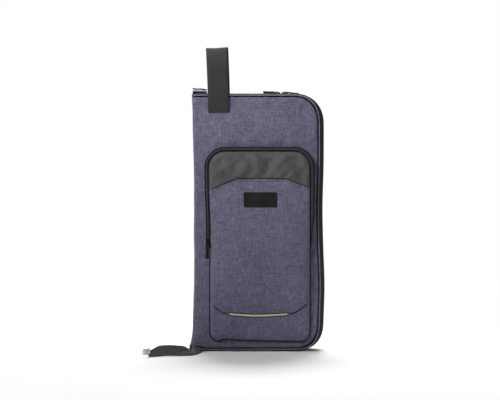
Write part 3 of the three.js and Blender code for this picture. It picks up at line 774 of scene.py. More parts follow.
def add_outer_panel(side, crown, seed):
    """A half's outer panel, the facing behind it at the hinge, and the padding under it."""
    outer, inward = HALVES[side]
    surface = panel_surface(side, crown, seed)
    face = half_grid(SEAM_INSET, LEFT, surface)
    inner = face + (0, inward * 1.4 * MM, 0)
    inner[:, 0, 0] += 1.3 * MM
    panel = slab(f"{side}_panel_cover", face, inner, BLUE, None, "blue_melange", f"{side}_shell")
    near = int(np.sum(face[len(face) // 2, :, 0] < LEFT + 12 * MM))
    step = np.array([0.25 * MM, inward * 0.2 * MM, 0])
    strip = inner[:, :near] + step
    tucked = strip[:, :1] + (0.65 * MM, inward * 3.4 * MM, 0)  # reaches behind the spine's edge
    strip = np.concatenate([tucked, strip], axis=1)
    facing = slab(f"{side}_panel_hinge_facing", strip, strip + step, LINING, None, "lining")
    for piece in (panel, facing):
        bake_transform(piece)
    low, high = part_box(f"{side}_foam")
    face = half_grid(SEAM_INSET + 2.5 * MM, low.x, lambda x, z: surface(x, z) + inward * 1.7 * MM, 8 * MM)
    back = face.copy()
    back[:, :, 1] = high.y if inward > 0 else low.y
    slab(f"{side}_panel_padding", face, back, FOAM, f"{side}_half", "foam", f"{side}_foam")


def add_spine():
    """The spine's outer cover, its padding and lining, and its two bound ends."""
    low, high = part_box("spine_shell")
    first, last = low.y + 1.2 * MM, high.y - 1.2 * MM

    def cover_at(z, y):
        middle = sin(pi * (y - first) / (last - first))
        bulge = (1.4 * MM + 0.8 * MM * ripple(0, y * 2, z, 30, 8)) * middle + lean_out(z)
        return (LEFT - bulge + 0.6 * MM * (1 - middle), y, z)

    outer = grid(np.linspace(FOOT_RISE * 0.75, TOP - 1 * MM, 91), np.linspace(first, last, 15), cover_at)
    slab("spine_cover", outer, outer + (1.2 * MM, 0, 0), BLUE, "spine", "blue_melange", "spine_shell")
    for name, node, slot, material, outside, thick, margin in (
            ("spine_padding", "spine_foam", "foam", FOAM, 1.6 * MM, 2.2 * MM, 7 * MM),
            ("spine_inner_lining", "spine_lining", "lining", LINING, 4.2 * MM, 0.8 * MM, 1.8 * MM)):
        rows = np.linspace(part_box(node)[0].z + 2 * MM, TOP - 7 * MM, 61)
        columns = np.linspace(first + margin, last - margin, 9)
        outer = grid(rows, columns, lambda z, y: (LEFT - lean_out(z) + outside, y, z))
        # its ripples are about three rows or columns long, so they go by row and column number
        outer[:, :, 0] += 0.3 * MM * grid(range(61), range(9), lambda r, k: ripple(0, k, r, 3 / MM, 5))
        slab(name, outer, outer + (thick, 0, 0), material, "spine", slot, node)
    for name, height in (("spine_top_binding", TOP - 4 * MM), ("spine_foot_binding", FOOT_RISE + 3.5 * MM)):
        rings = []
        for y in np.linspace(first + 1 * MM, last - 1 * MM, 12):
            x = LEFT - lean_out(height) + 2.3 * MM - 1.2 * MM * sin(pi * (y - first) / (last - first))
            rings.append([(x + a, y, height + b) for b, a in rounded_section(8 * MM, 4.8 * MM, 6)])
        tube(name, rings, BLACK, "spine", "black_tape")


def mirrored(profile):
    """A whole outline from one side of it, which is a list of (along, half width)."""
    return profile + [(along, -half) for along, half in profile[::-1]]


def plate(outline, origin, along, across, up, low, high):
    """A flat block: an outline of (along, across), from one height to another, all in mm."""
    return loft([[origin + (along * a + across * b + up * h) * MM for a, b in outline] for h in (low, high)])


def add_edges(side):
    """Piping, gusset, zip tape and teeth of one half."""
    outer, inward = HALVES[side]
    for name, section, material, start, slot, nodes in (
            ("piping_cord", disc(3.9, 0.5, 1.0, 12), PIPING, PIPING_START, "blue_melange", ["piping"]),
            # the navy flange also paints the groove's shade
            ("piping_flange_and_groove_shade", FLANGE_SECTION, NAVY_AND_PAINTED_SHADE, PIPING_START, "blue_melange", []),
            ("gusset_cover", GUSSET_SECTION, GUSSET, GUSSET_START, "black_tape", ["gusset"]),
            ("zip_tape_strip", TAPE_SECTION, BLACK, GUSSET_START, "black_tape", ["zip_tape"])):
        tube(f"{side}_{name}", sweep_edge(section, side, start), material, f"{side}_half", slot,
             *(f"{side}_{node}" for node in nodes))
    stations = edge_path(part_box(f"{side}_zip_teeth")[0].x, 1.35 * MM)
    blocks = []
    for station in stations[int(inward < 0)::2]:
        _, _, normal_x, normal_z = station
        centre = Vector(edge_point(station, 1.45 * MM, outer + inward * 20.9 * MM))
        across, up = Vector((-normal_z, 0, normal_x)), Vector((normal_x, 0, normal_z))
        blocks.append(plate(mirrored(TOOTH_PROFILE), centre, Vector((0, inward, 0)), across, up, -1.15, 1.15))
    place(joined(f"{side}_zip_teeth_row", blocks, TEETH), f"{side}_half", "zip_teeth", f"{side}_zip_teeth")


def add_lining(side, seed):
    """The half's lining, gently quilted by its padding."""
    inward = HALVES[side][1]
    low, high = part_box(f"{side}_lining")
    face_y = high.y if inward > 0 else low.y
    inset = 4.2 * MM

    def surface(x, z):
        sunk = 0.7 * MM * (1 - puff(outline_distance(x, z, inset), 9))
        return face_y + inward * (0.5 * MM * ripple(x, 0, z, 60, seed) - sunk)

    face = half_grid(inset, low.x, surface, 8 * MM)
    slab(f"{side}_inner_lining", face, face - (0, inward * 0.7 * MM, 0), LINING, f"{side}_half", "lining",
         f"{side}_lining")


def add_sleeve(side, seed):
    """Stick channels: one soft sheet that bellies out between stitched dividers, with a bound top edge."""
    inward = HALVES[side][1]
    low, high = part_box(f"{side}_stick_sleeve")
    root, front = (low.y, high.y) if inward > 0 else (high.y, low.y)
    third = (high.x - low.x) / 3

    def sleeve_at(z, x):
        share = (x - low.x) % third / third
        belly = sin(pi * share) ** 0.6 if 0 < share < 1 and x < high.x - 0.001 * MM else 0.0
        depth = (front - root) * (0.12 + 0.88 * belly * (0.35 + 0.65 * climb(z - low.z, 0, 30)))
        return (x, root + depth + inward * 0.7 * MM * ripple(x, 0, z, 24, seed) * belly, z)

    channel = spread(low.x, low.x + third, FINE[:6], 5 * MM)
    columns = [*channel[:-1], *(x + third for x in channel[:-1]), *(x + 2 * third for x in channel)]
    face = grid(np.linspace(low.z, high.z, 57), columns, sleeve_at)
    slab(f"{side}_sleeve_sheet", face, face - (0, inward * 0.9 * MM, 0), LINING, f"{side}_half", "lining",
         f"{side}_stick_sleeve")
    rings = [[(x, y + (a - inward * 0.45) * MM, z + b * MM) for a, b in BINDING_SECTION]
             for x, y, z in face[-1]]
    tube(f"{side}_sleeve_bound_edge", rings, BLACK, f"{side}_half", "black_tape", f"{side}_sleeve_binding")


def add_halves():
    add_outer_panel("front", 2.4 * MM, 11)
    add_outer_panel("back", 2.8 * MM, 23)
    for side in HALVES:
        add_edges(side)
    for side, seed in (("front", 31), ("back", 37)):
        add_lining(side, seed)
        add_sleeve(side, seed)
    add_spine()


# ---- Handle ----

HANDLE_WIDTH = 38 * MM
HANDLE_MIDDLE = (HANDLE_LOW.x + HANDLE_HIGH.x) / 2
HANDLE_SHIFT = {"front": 0.0, "back": 2.2 * MM}  # the back leg is sewn a little further over


def handle_route(side):
    """The leg on one half, from its sewn end to the middle of the crown."""
    outer, inward = HALVES[side]
    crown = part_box("handle_crown")[1].z + 0.6 * MM
    face = outer - inward * 2.6 * MM
    sag = [(0.5, face, HANDLE_LOW.z), (0.2, face - inward * 0.2 * MM, TOP - 20 * MM), (0, face, TOP - 2 * MM),
           (-0.6, face + inward * 2.4 * MM, TOP + 20 * MM), (-1.8, face + inward * 6.5 * MM, TOP + 45 * MM),
           (-2.8, face + inward * 14 * MM, TOP + 64 * MM),
           (-3.6, SPLIT_Y - inward * 3.2 * MM, crown - 4 * MM), (-3.8, SPLIT_Y, crown)]
    lean = 1.0 if side == "front" else 0.35
    return [Vector((HANDLE_MIDDLE + dx * MM * lean + HANDLE_SHIFT[side] * (1 - k / 7), y, z))
            for k, (dx, y, z) in enumerate(sag)]


def add_handle_leg(side, *nodes):
    route = smooth_route(handle_route(side), 7)
    points = [point for point, _ in route]
    across = Vector((1, 0, 0))
    rings = []
    for k, (point, share) in enumerate(route):
        ahead = heading_at(points, k) if k < len(route) - 1 else Vector((0, HALVES[side][1], 0))
        ahead.x = 0
        through = ahead.normalized().cross(across).normalized()
        cup = 0.5 * MM * ease((share - 2) / 3)
        section = []
        for a, b in rounded_section(HANDLE_WIDTH, 2 * MM):
            out = 2 * a / HANDLE_WIDTH
            rise = (1.3 * out**2 + 0.8 * out - 1.0) * MM * ease(share - 5.2)
            section.append(point + across * a + through * (b - cup * (1 - out**2)) + UP * rise)
        rings.append(section)
    leg = tube(f"handle_{side}_webbing", rings, WEBBING, None, "webbing", *nodes)
    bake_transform(leg)


def stitch_block(centre, heading, side, normal, length, radius):
    """One stitch: a short thread that dips into the cloth at both ends."""
    rings = []
    for share, rise, scale in ((-0.5, -0.9, 0.5), (-0.3, 0.35, 1.0), (0.3, 0.35, 1.0), (0.5, -0.9, 0.5)):
        middle = centre + heading * (length * share) + normal * (radius * rise)
        rings.append(ring(middle, side * (radius * scale), normal * (radius * scale), 6))
    return loft(rings)


def stitches(name, points, body, slot, material, normal, length=2.6 * MM, gap=1.1 * MM, radius=0.32 * MM):
    """A row of raised stitches along a line of points."""
    points = [Vector(p) for p in points]
    blocks = []
    at = 0.0
    for a, b in zip(points, points[1:]):
        run = (b - a).length
        heading = (b - a) / run
        side = heading.cross(normal).normalized()
        while at + length <= run:
            middle = a + heading * (at + length / 2)
            blocks.append(stitch_block(middle, heading, side, normal, length, radius))
            at += length + gap
        at = max(0.0, at - run)
    place(joined(name, blocks, material), body, slot)


def add_handle():
    add_handle_leg("front", "handle_front_leg", "handle_crown")
    add_handle_leg("back", "handle_back_leg")
    for side, (outer, inward) in HALVES.items():
        middle = HANDLE_MIDDLE + HANDLE_SHIFT[side]
        x0, x1 = middle - 15.5 * MM, middle + 15.5 * MM
        z0, z1 = HANDLE_LOW.z + 3.5 * MM, TOP - 9 * MM
        out = Vector((0, -inward, 0))
        for name, corners in (("stitches", [(x0, z0), (x1, z0), (x1, z1), (x0, z1), (x0, z0), (x1, z1)]),
                              ("cross_stitches", [(x0, z1), (x1, z0)])):
            line = [(x, outer - inward * 3.7 * MM, z) for x, z in corners]
            stitches(f"handle_{name}_{side}", line, f"{side}_half", "webbing", BLACK_THREAD, out)


def add_zip_end_patch():
    """A folded cover over the start of the main zip, with a dark bound edge along its top. A pale roll on it
    paints the highlight where its top catches the light, and a dark navy cord below the roll paints a shadow
    line.
    """
    low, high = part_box("zip_end_patch")
    left, bottom = LEFT - 0.5 * MM, low.z - 1.4 * MM
    front = low.y - 0.3 * MM  # clear of the slider's path
    rings, roll, edge, seam = [], [], [], []
    for share in np.linspace(0, 1, 19):
        x = left + (high.x - left) * share
        top = high.z + 2.2 * MM - 2.8 * MM * share - 0.5 * MM * sin(7 * share)
        rise = top - bottom
        rings.append([(x, y, z) for y, z in (
            (high.y, bottom), (high.y + 0.2 * MM, bottom + rise * 0.5), (high.y - 3 * MM, top - 0.4 * MM),
            (front + 6 * MM, top), (front + 1.5 * MM, top - 0.6 * MM), (front, top - rise * 0.3),
            (front + 0.2 * MM, bottom + rise * 0.5), (front + 2.2 * MM, bottom + rise * 0.3),
            (front + 3.4 * MM, bottom))])
        # The pale roll paints a highlight along the cover's top.
        for line, inset, z, radius in ((roll, 1.2, bottom + rise * 0.66, 1.9),
                                       (edge, 1.2, top + 0.3 * MM, 0.85),
                                       # this dark navy cord paints the shadow line below the highlight
                                       (seam, 1.4, bottom + rise * 0.24, 1.3)):
            centre = Vector((x, front + inset * MM, z))
            line.append(ring(centre, Vector((0, radius * MM, 0)), UP * (radius * MM), 10))
    patch = tube("zip_end_cover", rings, BLUE, "back_half", "blue_melange", "zip_end_patch")
    smoother = patch.modifiers.new("round", "SUBSURF")
    smoother.levels = smoother.render_levels = 1
    tube("zip_end_painted_highlight", roll, PALE_PAINTED_HIGHLIGHT, "back_half", "blue_melange")
    tube("zip_end_binding", edge, BLACK, "back_half", "black_tape")
    tube("zip_end_painted_shadow", seam, NAVY_AND_PAINTED_SHADE, "back_half", "blue_melange")


# ---- Front pocket ----

TRIM_RELIEF = 1.4 * MM  # depth of the groove in which the curved seam lies
YOKE_SEAM = [(FLAP_LEFT, 293 * MM), (-39 * MM, 314 * MM), (50 * MM, 314 * MM), (FLAP_RIGHT, 297 * MM)]
LOWER_POINTS = [(-84, 86), (-72, 76.5), (-59, 70.8), (-30, 68.2), (-3.6, 67), (30, 68.2), (58, 70.6),
                (70, 74.5), (89, 88.6)]  # the curved seam, in mm
LOWER_SEAM = [tuple(p) for p, _ in smooth_route([Vector((x * MM, z * MM)) for x, z in LOWER_POINTS], 6)]


def seam_height(seam, x):
    return float(np.interp(x, *zip(*seam)))


def past_corner(x, left, right, radius):
    """How far a place is past the start of the nearer corner: above 0 only in the corners."""
    return max((left + radius) - x, x - (right - radius))


def flap_top(x):
    """Height of the flap's upper edge at a place across it."""
    out = max(0.0, past_corner(x, FLAP_LEFT, FLAP_RIGHT, FLAP_RADIUS))
    return FLAP_TOP - FLAP_RADIUS + sqrt(max(0.0, FLAP_RADIUS**2 - out**2))


def hem_lift(x):
    """How far the pocket's lower edge is drawn up beyond the tuck near its left corner."""
    return 3.4 * MM * climb(x, -72, 4) * (1 - climb(x, -68, 110))


def base_bottom(x):
    """Height of the pocket's lower edge at a place across it."""
    out = past_corner(x, BASE_LOW.x, BASE_HIGH.x, BASE_RADIUS)
    if out > 0:
        return BASE_LOW.z + BASE_RADIUS - sqrt(max(0.0, BASE_RADIUS**2 - out**2))
    return BASE_LOW.z + hem_lift(x)


def tape_bow(z):
    """How far the pocket's zip bows towards the free side, low on the spine side."""
    return 3.0 * MM * bell(z, 220, 60)


def pocket_left(z):
    """The face's spine-side edge, which bows in a little towards the lower end of the zip."""
    return BASE_LOW.x + (FLAP_LEFT - BASE_LOW.x + tape_bow(z)) * climb(z - HINGE_Z, -8, 16)


def pocket_right(z):
    return BASE_HIGH.x + (FLAP_RIGHT - BASE_HIGH.x) * climb(z - HINGE_Z, -8, 16)


def pocket_edge(x, z):
    """Distance from a point of the pocket's face to the face's edge."""
    sides = min(x - pocket_left(z), pocket_right(z) - x)
    if z > FLAP_TOP - FLAP_RADIUS:
        out = past_corner(x, FLAP_LEFT, FLAP_RIGHT, FLAP_RADIUS)
        if out > 0:
            return FLAP_RADIUS - hypot(out, z - FLAP_TOP + FLAP_RADIUS)
        return min(sides, FLAP_TOP - z)
    if z < BASE_LOW.z + BASE_RADIUS:
        out = past_corner(x, BASE_LOW.x, BASE_HIGH.x, BASE_RADIUS)
        if out > 0:
            return BASE_RADIUS - hypot(out, BASE_LOW.z + BASE_RADIUS - z)
        return min(sides, z - BASE_LOW.z - hem_lift(x))
    return min(sides, z - BASE_LOW.z, FLAP_TOP - z)


def held_pocket(x, z):
    """Where the pocket's face is sewn: round its edge and along its two seams."""
    across = abs(z - seam_height(LOWER_SEAM, x)) < 3 * MM or abs(z - seam_height(YOKE_SEAM, x)) < 3 * MM
    return pocket_edge(x, z) < 4 * MM or across


def held_yoke(x, z):
    """Where the yoke's thin cloth is sewn. The cloth is loose, so it is held only at its very edge."""
    return pocket_edge(x, z) < 2.5 * MM or z < seam_height(YOKE_SEAM, x) + 2.5 * MM


POCKET_CLOTH = settle_cloth((BASE_LOW.x, BASE_LOW.z), (BASE_HIGH.x, FLAP_TOP), held_pocket, 0.015, 1.0,
                            5 * MM, 4 * MM, 42)
YOKE_CLOTH = settle_cloth((FLAP_LEFT, YOKE_SEAM[0][1]), (FLAP_RIGHT, FLAP_TOP), held_yoke, 0.045, 0.7, 4 * MM,
                          4 * MM, 57, 0.6)


def pocket_surface(x, z, seam_depth=TRIM_RELIEF):
    """y of the pocket's padded face."""
    edge = pocket_edge(x, z)
    zipped = climb(z - HINGE_Z, -10, 20)
    base = (FRONT_Y - 2.2 * MM) * (1 - zipped) + (TAPE_Y + 0.4 * MM) * zipped
    face = POCKET_Y + 1.2 * MM + 7.5 * MM * (1 - climb(z - BASE_LOW.z, 0, 150))
    y = base + (face - base) * puff(edge, 11 - 2 * zipped) - 1.6 * MM * climb(edge, 0, 50)
    inside = climb(x, -86, 5) * climb(91 * MM - x, 0, 5)
    y += seam_depth * bell(z - seam_height(LOWER_SEAM, x), 0, 2.2) * inside
    tuck = hypot((x + 71 * MM) * 1.5 + (z - 28 * MM) * 0.35, (z - 28 * MM) * 0.5)
    y += 1.5 * MM * bell(tuck, 0, 3.2)
    pucker = 0.55 * MM * fading(edge, 9) * ripple(x, 0, z, 8, 41)
    slack = 0.8 * MM * ripple(x, 0, z, 55, 42) + 0.25 * MM * ripple(x, 0, z, 18, 43)
    return y - (pucker + slack + POCKET_CLOTH(x, z)) * climb(edge, 0, 4)


def yoke_crease(x, z):
    """The loose folds of the yoke's thin cloth, in metres outwards."""
    fold = (z - 324 * MM) - 0.75 * (x - 52 * MM)
    crease = (1.8 * MM * bell(fold, -8, 4) - 2.2 * MM * bell(fold, 0, 3.2)) * bell(x, 54, 12)
    crease += 2.2 * MM * bell(x, -3, 5) * bell(z, 348, 13) - 1.6 * MM * bell(x, -14, 6) * bell(z, 346, 14)
    crease -= 1.8 * MM * exp(-(((x - 8 * MM) / (50 * MM)) ** 4)) * bell(z, 361, 4.5)
    return max(crease + 0.8 * YOKE_CLOTH(x, z), -2.6 * MM)


def shares(length, count, fine=FINE):
    """Shares of a length in mm, from 0 to 1, close together at both ends."""
    return spread(0.0, 1.0, [d / (length * MM) for d in fine], 1 / count)


def add_pocket_face():
    """The blue lower panel and flap, in one cloth that bends at the zip's lower ends."""

    def face_at(share, u):
        rough_x = BASE_LOW.x + (BASE_HIGH.x - BASE_LOW.x) * u
        low, high = base_bottom(rough_x), seam_height(YOKE_SEAM, rough_x) + 0.6 * MM
        z = low + (high - low) * share
        x = pocket_left(z) + (pocket_right(z) - pocket_left(z)) * u
        return (x, pocket_surface(x, z), z)

    outer = grid(shares(280, 86), shares(180, 56), face_at)
    inner = outer.copy()
    y = outer[:, :, 1]
    inner[:, :, 1] = np.minimum(y + 3.2 * MM, np.maximum(y + 1.0 * MM, POCKET_Y + 5.6 * MM))
    face = slab("pocket_blue_panel", outer, inner, BLUE, None, "blue_melange", "pocket_lower_panel",
                "pocket_flap_panel", "pocket_lower_foam", "pocket_flap_foam")
    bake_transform(face)


def add_yoke():
    def yoke_at(share, u):
        flat_x = FLAP_LEFT + (FLAP_RIGHT - FLAP_LEFT) * u
        low = seam_height(YOKE_SEAM, flat_x)
        z = low + (flap_top(flat_x) - low) * share
        x = flat_x + tape_bow(z) * (1 - u)
        edge = max(pocket_edge(flat_x, z), 0)
        loose = yoke_crease(x, z) * climb(edge, 0, 6) * climb(z - low, 0, 5)
        tucked = 1.3 * MM * bell(z - low, 0, 2.2) + 1.2 * MM * fading(edge, 2.5)
        return (x, pocket_surface(x, z) - loose + tucked, z)

    outer = grid(shares(60, 24, FINE[:7]), shares(180, 56), yoke_at)
    yoke = slab("pocket_grey_yoke", outer, outer + (0, 2.6 * MM, 0), NYLON, "pocket_flap", "grey_nylon",
                "pocket_yoke")


def arch_path(spacing):
    """Points (x, z, outward x, outward z) along the pocket's outline, from end to end."""
    left, right = POCKET_LEFT + POCKET_RADIUS, POCKET_RIGHT - POCKET_RADIUS
    shoulder = POCKET_TOP - POCKET_RADIUS
    up, turns = round((shoulder - ZIP_END) / spacing), round(POCKET_RADIUS * pi / 2 / spacing)

    def turn(x, first, last):
        return [(x + POCKET_RADIUS * cos(t), shoulder + POCKET_RADIUS * sin(t), cos(t), sin(t))
                for t in between(first, last, turns)]

    path = [(POCKET_LEFT, z, -1.0, 0.0) for z in between(ZIP_END, shoulder, up)] + turn(left, pi, pi / 2)
    path += [(x, POCKET_TOP, 0.0, 1.0) for x in between(left, right, round((right - left) / spacing))]
    path += turn(right, pi / 2, 0)
    return path + [(POCKET_RIGHT, z, 1.0, 0.0) for z in np.linspace(shoulder, ZIP_END, up + 1)]


def sweep_arch(section):
    """A band along the pocket's zip, which runs out low on the free side. Its section is a closed list of
    (inset, depth behind the tape's face) in mm."""
    rings = []
    for x, z, normal_x, normal_z in arch_path(3 * MM):
        bow = tape_bow(z) * max(-normal_x, 0)
        fade = 0.8 * climb(252 * MM - z, 0, 58) * max(normal_x, 0)
        band = [((inset + (5.3 - inset) * fade) * MM, TAPE_Y + (y + 1.2 * fade) * MM) for inset, y in section]
        rings.append([(x + bow - normal_x * inset, y, z - normal_z * inset) for inset, y in band])
    return rings


def add_pocket_zip():
    """The two tapes of the pocket's zip, a dark navy cord beside them that paints the shadow between the
    panel and the outer tape, and the pocket's side wall.
    """
    wall = (FRONT_Y - TAPE_Y) / MM
    for name, material, body, nodes, section in (
            ("pocket_outer_zip_tape", COIL, "front_half", ["pocket_outer_tape"],
             [(0.4, 1.8), (0.6, 0.9), (1.2, 0.4), (2.2, 0.0), (3.2, -0.1), (4.0, 0.2), (4.6, 0.9), (4.6, 1.6),
              (3.4, 1.7), (2.0, 1.8)]),
            # a dark navy cord painted as the shadow line beside the outer tape
            ("pocket_zip_shadow_line", NAVY_AND_PAINTED_SHADE, "front_half", [], disc(-0.3, 1.2, 1.1, 8)),
            ("pocket_inner_zip_tape", BLACK, "pocket_flap", ["pocket_inner_tape"],
             [(5.1, 1.9), (5.3, 1.2), (6.0, 1.0), (8.0, 1.6), (10.0, 2.4), (12.2, 2.8), (12.2, 3.4),
              (8.0, 2.7), (6.0, 2.3)]),
            ("pocket_side_wall", BLUE, "front_half", ["pocket_gusset"],
             [(0.5, 1.3), (-0.3, 5.0), (-1.2, wall - 3.4), (-2.2, wall - 1.0), (0.6, wall - 1.0),
              (1.6, wall - 4.0), (2.2, 5.0), (2.4, 1.6)])):
        tube(name, sweep_arch(section), material, body, "black_tape", *nodes)


def add_pocket_seam():
    """The seam round the pocket's sewn sides, from one end of the zip to the other: a dark navy cord, partly
    the seam and partly painted shade where the padded pocket meets the panel.
    """
    gap = 0.6 * MM
    left, right, low, radius = BASE_LOW.x - gap, BASE_HIGH.x + gap, BASE_LOW.z - gap, BASE_RADIUS + gap
    turn_z = low + radius
    line = [(left + tape_bow(z) * (1 - k / 29) ** 4, z) for k, z in enumerate(between(HINGE_Z, turn_z, 30))]
    line += arc(left + radius, turn_z, radius, 2, 3, 13)
    line += [(x, low + hem_lift(x) - 3.2 * MM * bell(x, -71.5, 1.5))
             for x in np.linspace(left + radius, right - radius, 122)[1:-1]]
    line += arc(right - radius, turn_z, radius, 3, 4, 13)
    line += [(right, z) for z in np.linspace(turn_z, HINGE_Z, 31)[1:]]
    line = [Vector((x, FRONT_Y - 1.6 * MM + 0.4 * MM * ripple(x, 0, z, 9, 81), z)) for x, z in line]
    rings = []
    for k, centre in enumerate(line):
        heading = heading_at(line, k)
        side = Vector((heading.x, 0, heading.z)).normalized().cross(Vector((0, 1, 0)))
        # The painted shade line is wider on the spine side.
        size = (1.5 if centre.x < 0 else 1.2) * MM
        rings.append(ring(centre, side * size, Vector((0, 0.8 * MM, 0)), 8))
    tube("pocket_base_seam_and_shade", rings, NAVY_AND_PAINTED_SHADE, "front_half", "blue_melange")


def seam_line(seam, start, end, drop=0.0):
    """Points of a seam on the pocket's face, with the groove it lies in left out."""
    places = [(x, seam_height(seam, x) + drop) for x in np.linspace(start, end, 61)]
    return [Vector((x, pocket_surface(x, z, 0.0), z)) for x, z in places]


def surface_cord(name, line, depth, height, material, body, slot, *nodes):
    """A flattened cord half sunk in the pocket's face, tapered at both ends. Its radii are in mm."""
    rings = []
    for centre, share in zip(line, np.linspace(-1, 1, len(line))):
        shrink = sqrt(max(0.02, 1 - abs(share) ** 12)) * MM
        rings.append(ring(centre, UP * (height * shrink), Vector((0, depth * shrink, 0)), 10))
    tube(name, rings, material, body, slot, *nodes)


def add_label():
    """A blank leatherette patch with a stitched border."""
    low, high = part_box("label_patch")
    corner = inset = 2.2 * MM

    def label_at(z, u):
        cut = corner - sqrt(max(0.0, corner**2 - max(0.0, corner - min(z - low.z, high.z - z)) ** 2))
        x = low.x + cut + (high.x - low.x - 2 * cut) * u
        rim = min(x - low.x - cut, high.x - cut - x, z - low.z, high.z - z)
        pad = 1.4 * MM * puff(rim, 1.3) - 0.35 * MM * bell(rim, 2.2, 0.5)
        return (x, pocket_surface(x, z), z, pad)

    rows = spread(low.z, high.z, [0, 0.5 * MM, 1.2 * MM, 2.2 * MM], 3 * MM)
    points = grid(rows, spread(0.0, 1.0, [0, 0.008, 0.02, 0.036], 1 / 16), label_at)
    outer, inner = points[:, :, :3].copy(), points[:, :, :3].copy()
    outer[:, :, 1] -= points[:, :, 3] + 0.1 * MM
    inner[:, :, 1] += 0.6 * MM
    slab("label_patch_blank", outer, inner, LABEL, "pocket_flap", "label_leather", "label_patch")
    x0, x1, z0, z1 = low.x + inset, high.x - inset, low.z + inset, high.z - inset
    corners = [(x0, z0), (x1, z0), (x1, z1), (x0, z1), (x0, z0)]
    line = []
    for a, b in zip(corners, corners[1:]):
        count = max(2, round(hypot(b[0] - a[0], b[1] - a[1]) / (4 * MM)))
        line += between(a, b, count).tolist()
    line = [(x, pocket_surface(x, z) - 1.25 * MM, z) for x, z in [*line, line[0]]]
    stitches("label_stitches", line, "pocket_flap", "label_leather", BLACK_THREAD, Vector((0, -1, 0)),
             1.9 * MM, 0.9 * MM, 0.26 * MM)


def add_pocket_linings():
    """The lining behind the flap and behind the lower panel."""
    for name, node, body in (("flap_inner_lining", "pocket_flap_lining", "pocket_flap"),
                             ("pocket_inner_lining", "pocket_lower_lining", "front_half")):
        low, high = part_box(node)

        def lining_at(share, u):
            x = low.x + (high.x - low.x) * u
            bottom = base_bottom(x) + 1.5 * MM if body == "front_half" else low.z
            z = bottom + (min(high.z, flap_top(x) - 0.6 * MM) - bottom) * share
            behind = max(high.y - 0.2 * MM, pocket_surface(x, z) + 4.2 * MM)
            return (x, behind + 0.35 * MM * ripple(x, 0, z, 30, 61), z)

        rim = [0, 0.01, 0.03]
        face = grid(spread(0.0, 1.0, rim, 1 / 24), spread(0.0, 1.0, rim, 1 / 28), lining_at)
        slab(name, face, face - (0, 0.6 * MM, 0), LINING, body, "lining", node)


def add_pocket():
    add_pocket_face()
    add_pocket_seam()
    add_yoke()
    add_pocket_zip()
    add_pocket_linings()
    add_label()
    low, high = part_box("pocket_trim_piping")
    trim = seam_line(LOWER_SEAM, low.x, high.x)
    surface_cord("tan_piping", trim, 1.3, 1.7, TAN, "front_half", "tan_trim", "pocket_trim_piping")
    # brown cords above and below the tan piping paint its shadow lines
    for name, drop in (("trim_painted_shadow_above", 2.4 * MM), ("trim_painted_shadow_below", -2.4 * MM)):
        line = seam_line(LOWER_SEAM, low.x - 2 * MM, high.x + 2 * MM, drop)
        surface_cord(name, line, 0.7, 0.8, BROWN_PAINTED_SHADOW, "front_half", "blue_melange")
    # Navy cords along the curved seam beyond the tan piping: partly the seam's stitching, partly painted
    # shade for its groove.
    for name, start, end in (("left", LOWER_SEAM[0][0], low.x), ("right", high.x, LOWER_SEAM[-1][0])):
        line = seam_line(LOWER_SEAM, start, end)
        surface_cord(f"lower_seam_{name}", line, 0.8, 0.75, NAVY_AND_PAINTED_SHADE, "front_half", "blue_melange")
    # A thin black cord just above the yoke seam paints the shadow line where the blue panel overlaps the
    # yoke.
    fold = seam_line(YOKE_SEAM, FLAP_LEFT + 1 * MM, FLAP_RIGHT - 1 * MM, 1.3 * MM)
    surface_cord("yoke_seam_painted_shadow", fold, 0.5, 0.8, BLACK, "pocket_flap", "grey_nylon")
    places = [(x, seam_height(YOKE_SEAM, x) - 3.2 * MM)
              for x in np.linspace(FLAP_LEFT + 6 * MM, FLAP_RIGHT - 6 * MM, 60)]
    line = [(x, pocket_surface(x, z) - 0.1 * MM, z) for x, z in places]
    stitches("yoke_seam_stitches", line, "pocket_flap", "blue_melange", THREAD, Vector((0, -1, 0)))


# ---- Zip sliders and pullers ----

# Shares of length and width for the slider, and mm for the rest
SLIDER_OUTLINE = [(-0.5, 0.38), (-0.2, 0.40), (0.1, 0.46), (0.38, 0.5), (0.5, 0.36)]
BAIL_OUTSIDE = [(-3.7, 1.4), (-3.5, 3.0), (-2.4, 3.8), (0, 4.0), (2.4, 3.8), (3.5, 3.0), (3.7, 1.4)]
BAIL_INSIDE = [(-2.7, 1.4), (-2.6, 2.7), (-1.9, 3.1), (0, 3.2), (1.9, 3.1), (2.6, 2.7), (2.7, 1.4)]
PULLER_HOLE = [(0.6, 1.5), (3.4, 1.5), (3.4, -1.5), (0.6, -1.5)]
PULLER_THICKNESS = 0.9 * MM
PULL_TABS = {  # along the tab in mm: how far from the pivot, half width, half thickness, lift of its middle
    "left": [(4.9, 2.4, 1.2, 0.0), (6.4, 3.2, 1.9, -0.3), (9, 3.8, 2.0, -0.3), (18, 4.0, 2.1, -0.2),
             (22, 4.0, 2.2, 0.0), (24.8, 3.9, 2.3, 0.1), (25.4, 3.6, 2.0, 0.1)],
    "right": [(4.9, 2.4, 1.2, 0.0), (6.4, 3.2, 1.4, -0.4), (9, 3.8, 1.3, -0.8), (14, 4.0, 1.1, -1.3),
              (20, 4.0, 0.9, -1.7), (25, 3.9, 0.8, -2.0), (25.6, 3.6, 0.5, -2.0)],
}


def slider_piece(name, node, along, up, origin, length, width, body):
    """A cast slider: a waisted plate with folded sides and a bail over it. Its length and width are in mm."""
    across = up.cross(along)
    blocks = []
    for low, high, scale in ((0.3, 1.6, 1.0), (1.6, 2.3, 0.9)):
        outline = [(a * length * scale, b * width * scale) for a, b in mirrored(SLIDER_OUTLINE)]
        blocks.append(plate(outline, origin, along, across, up, low, high))
    sides = [grid((BAIL_OUTSIDE, BAIL_INSIDE), range(7),
                  lambda line, k: origin + (along * line[k][0] + across * reach + up * line[k][1]) * MM)
             for reach in (-0.9, 0.9)]
    blocks.append(sheet_block(*sides))
    slider = bevel(joined(name, blocks, BLACK_METAL, False), 0.3 * MM, 2, 25)
    place(slider, body, "zip_metal", node)


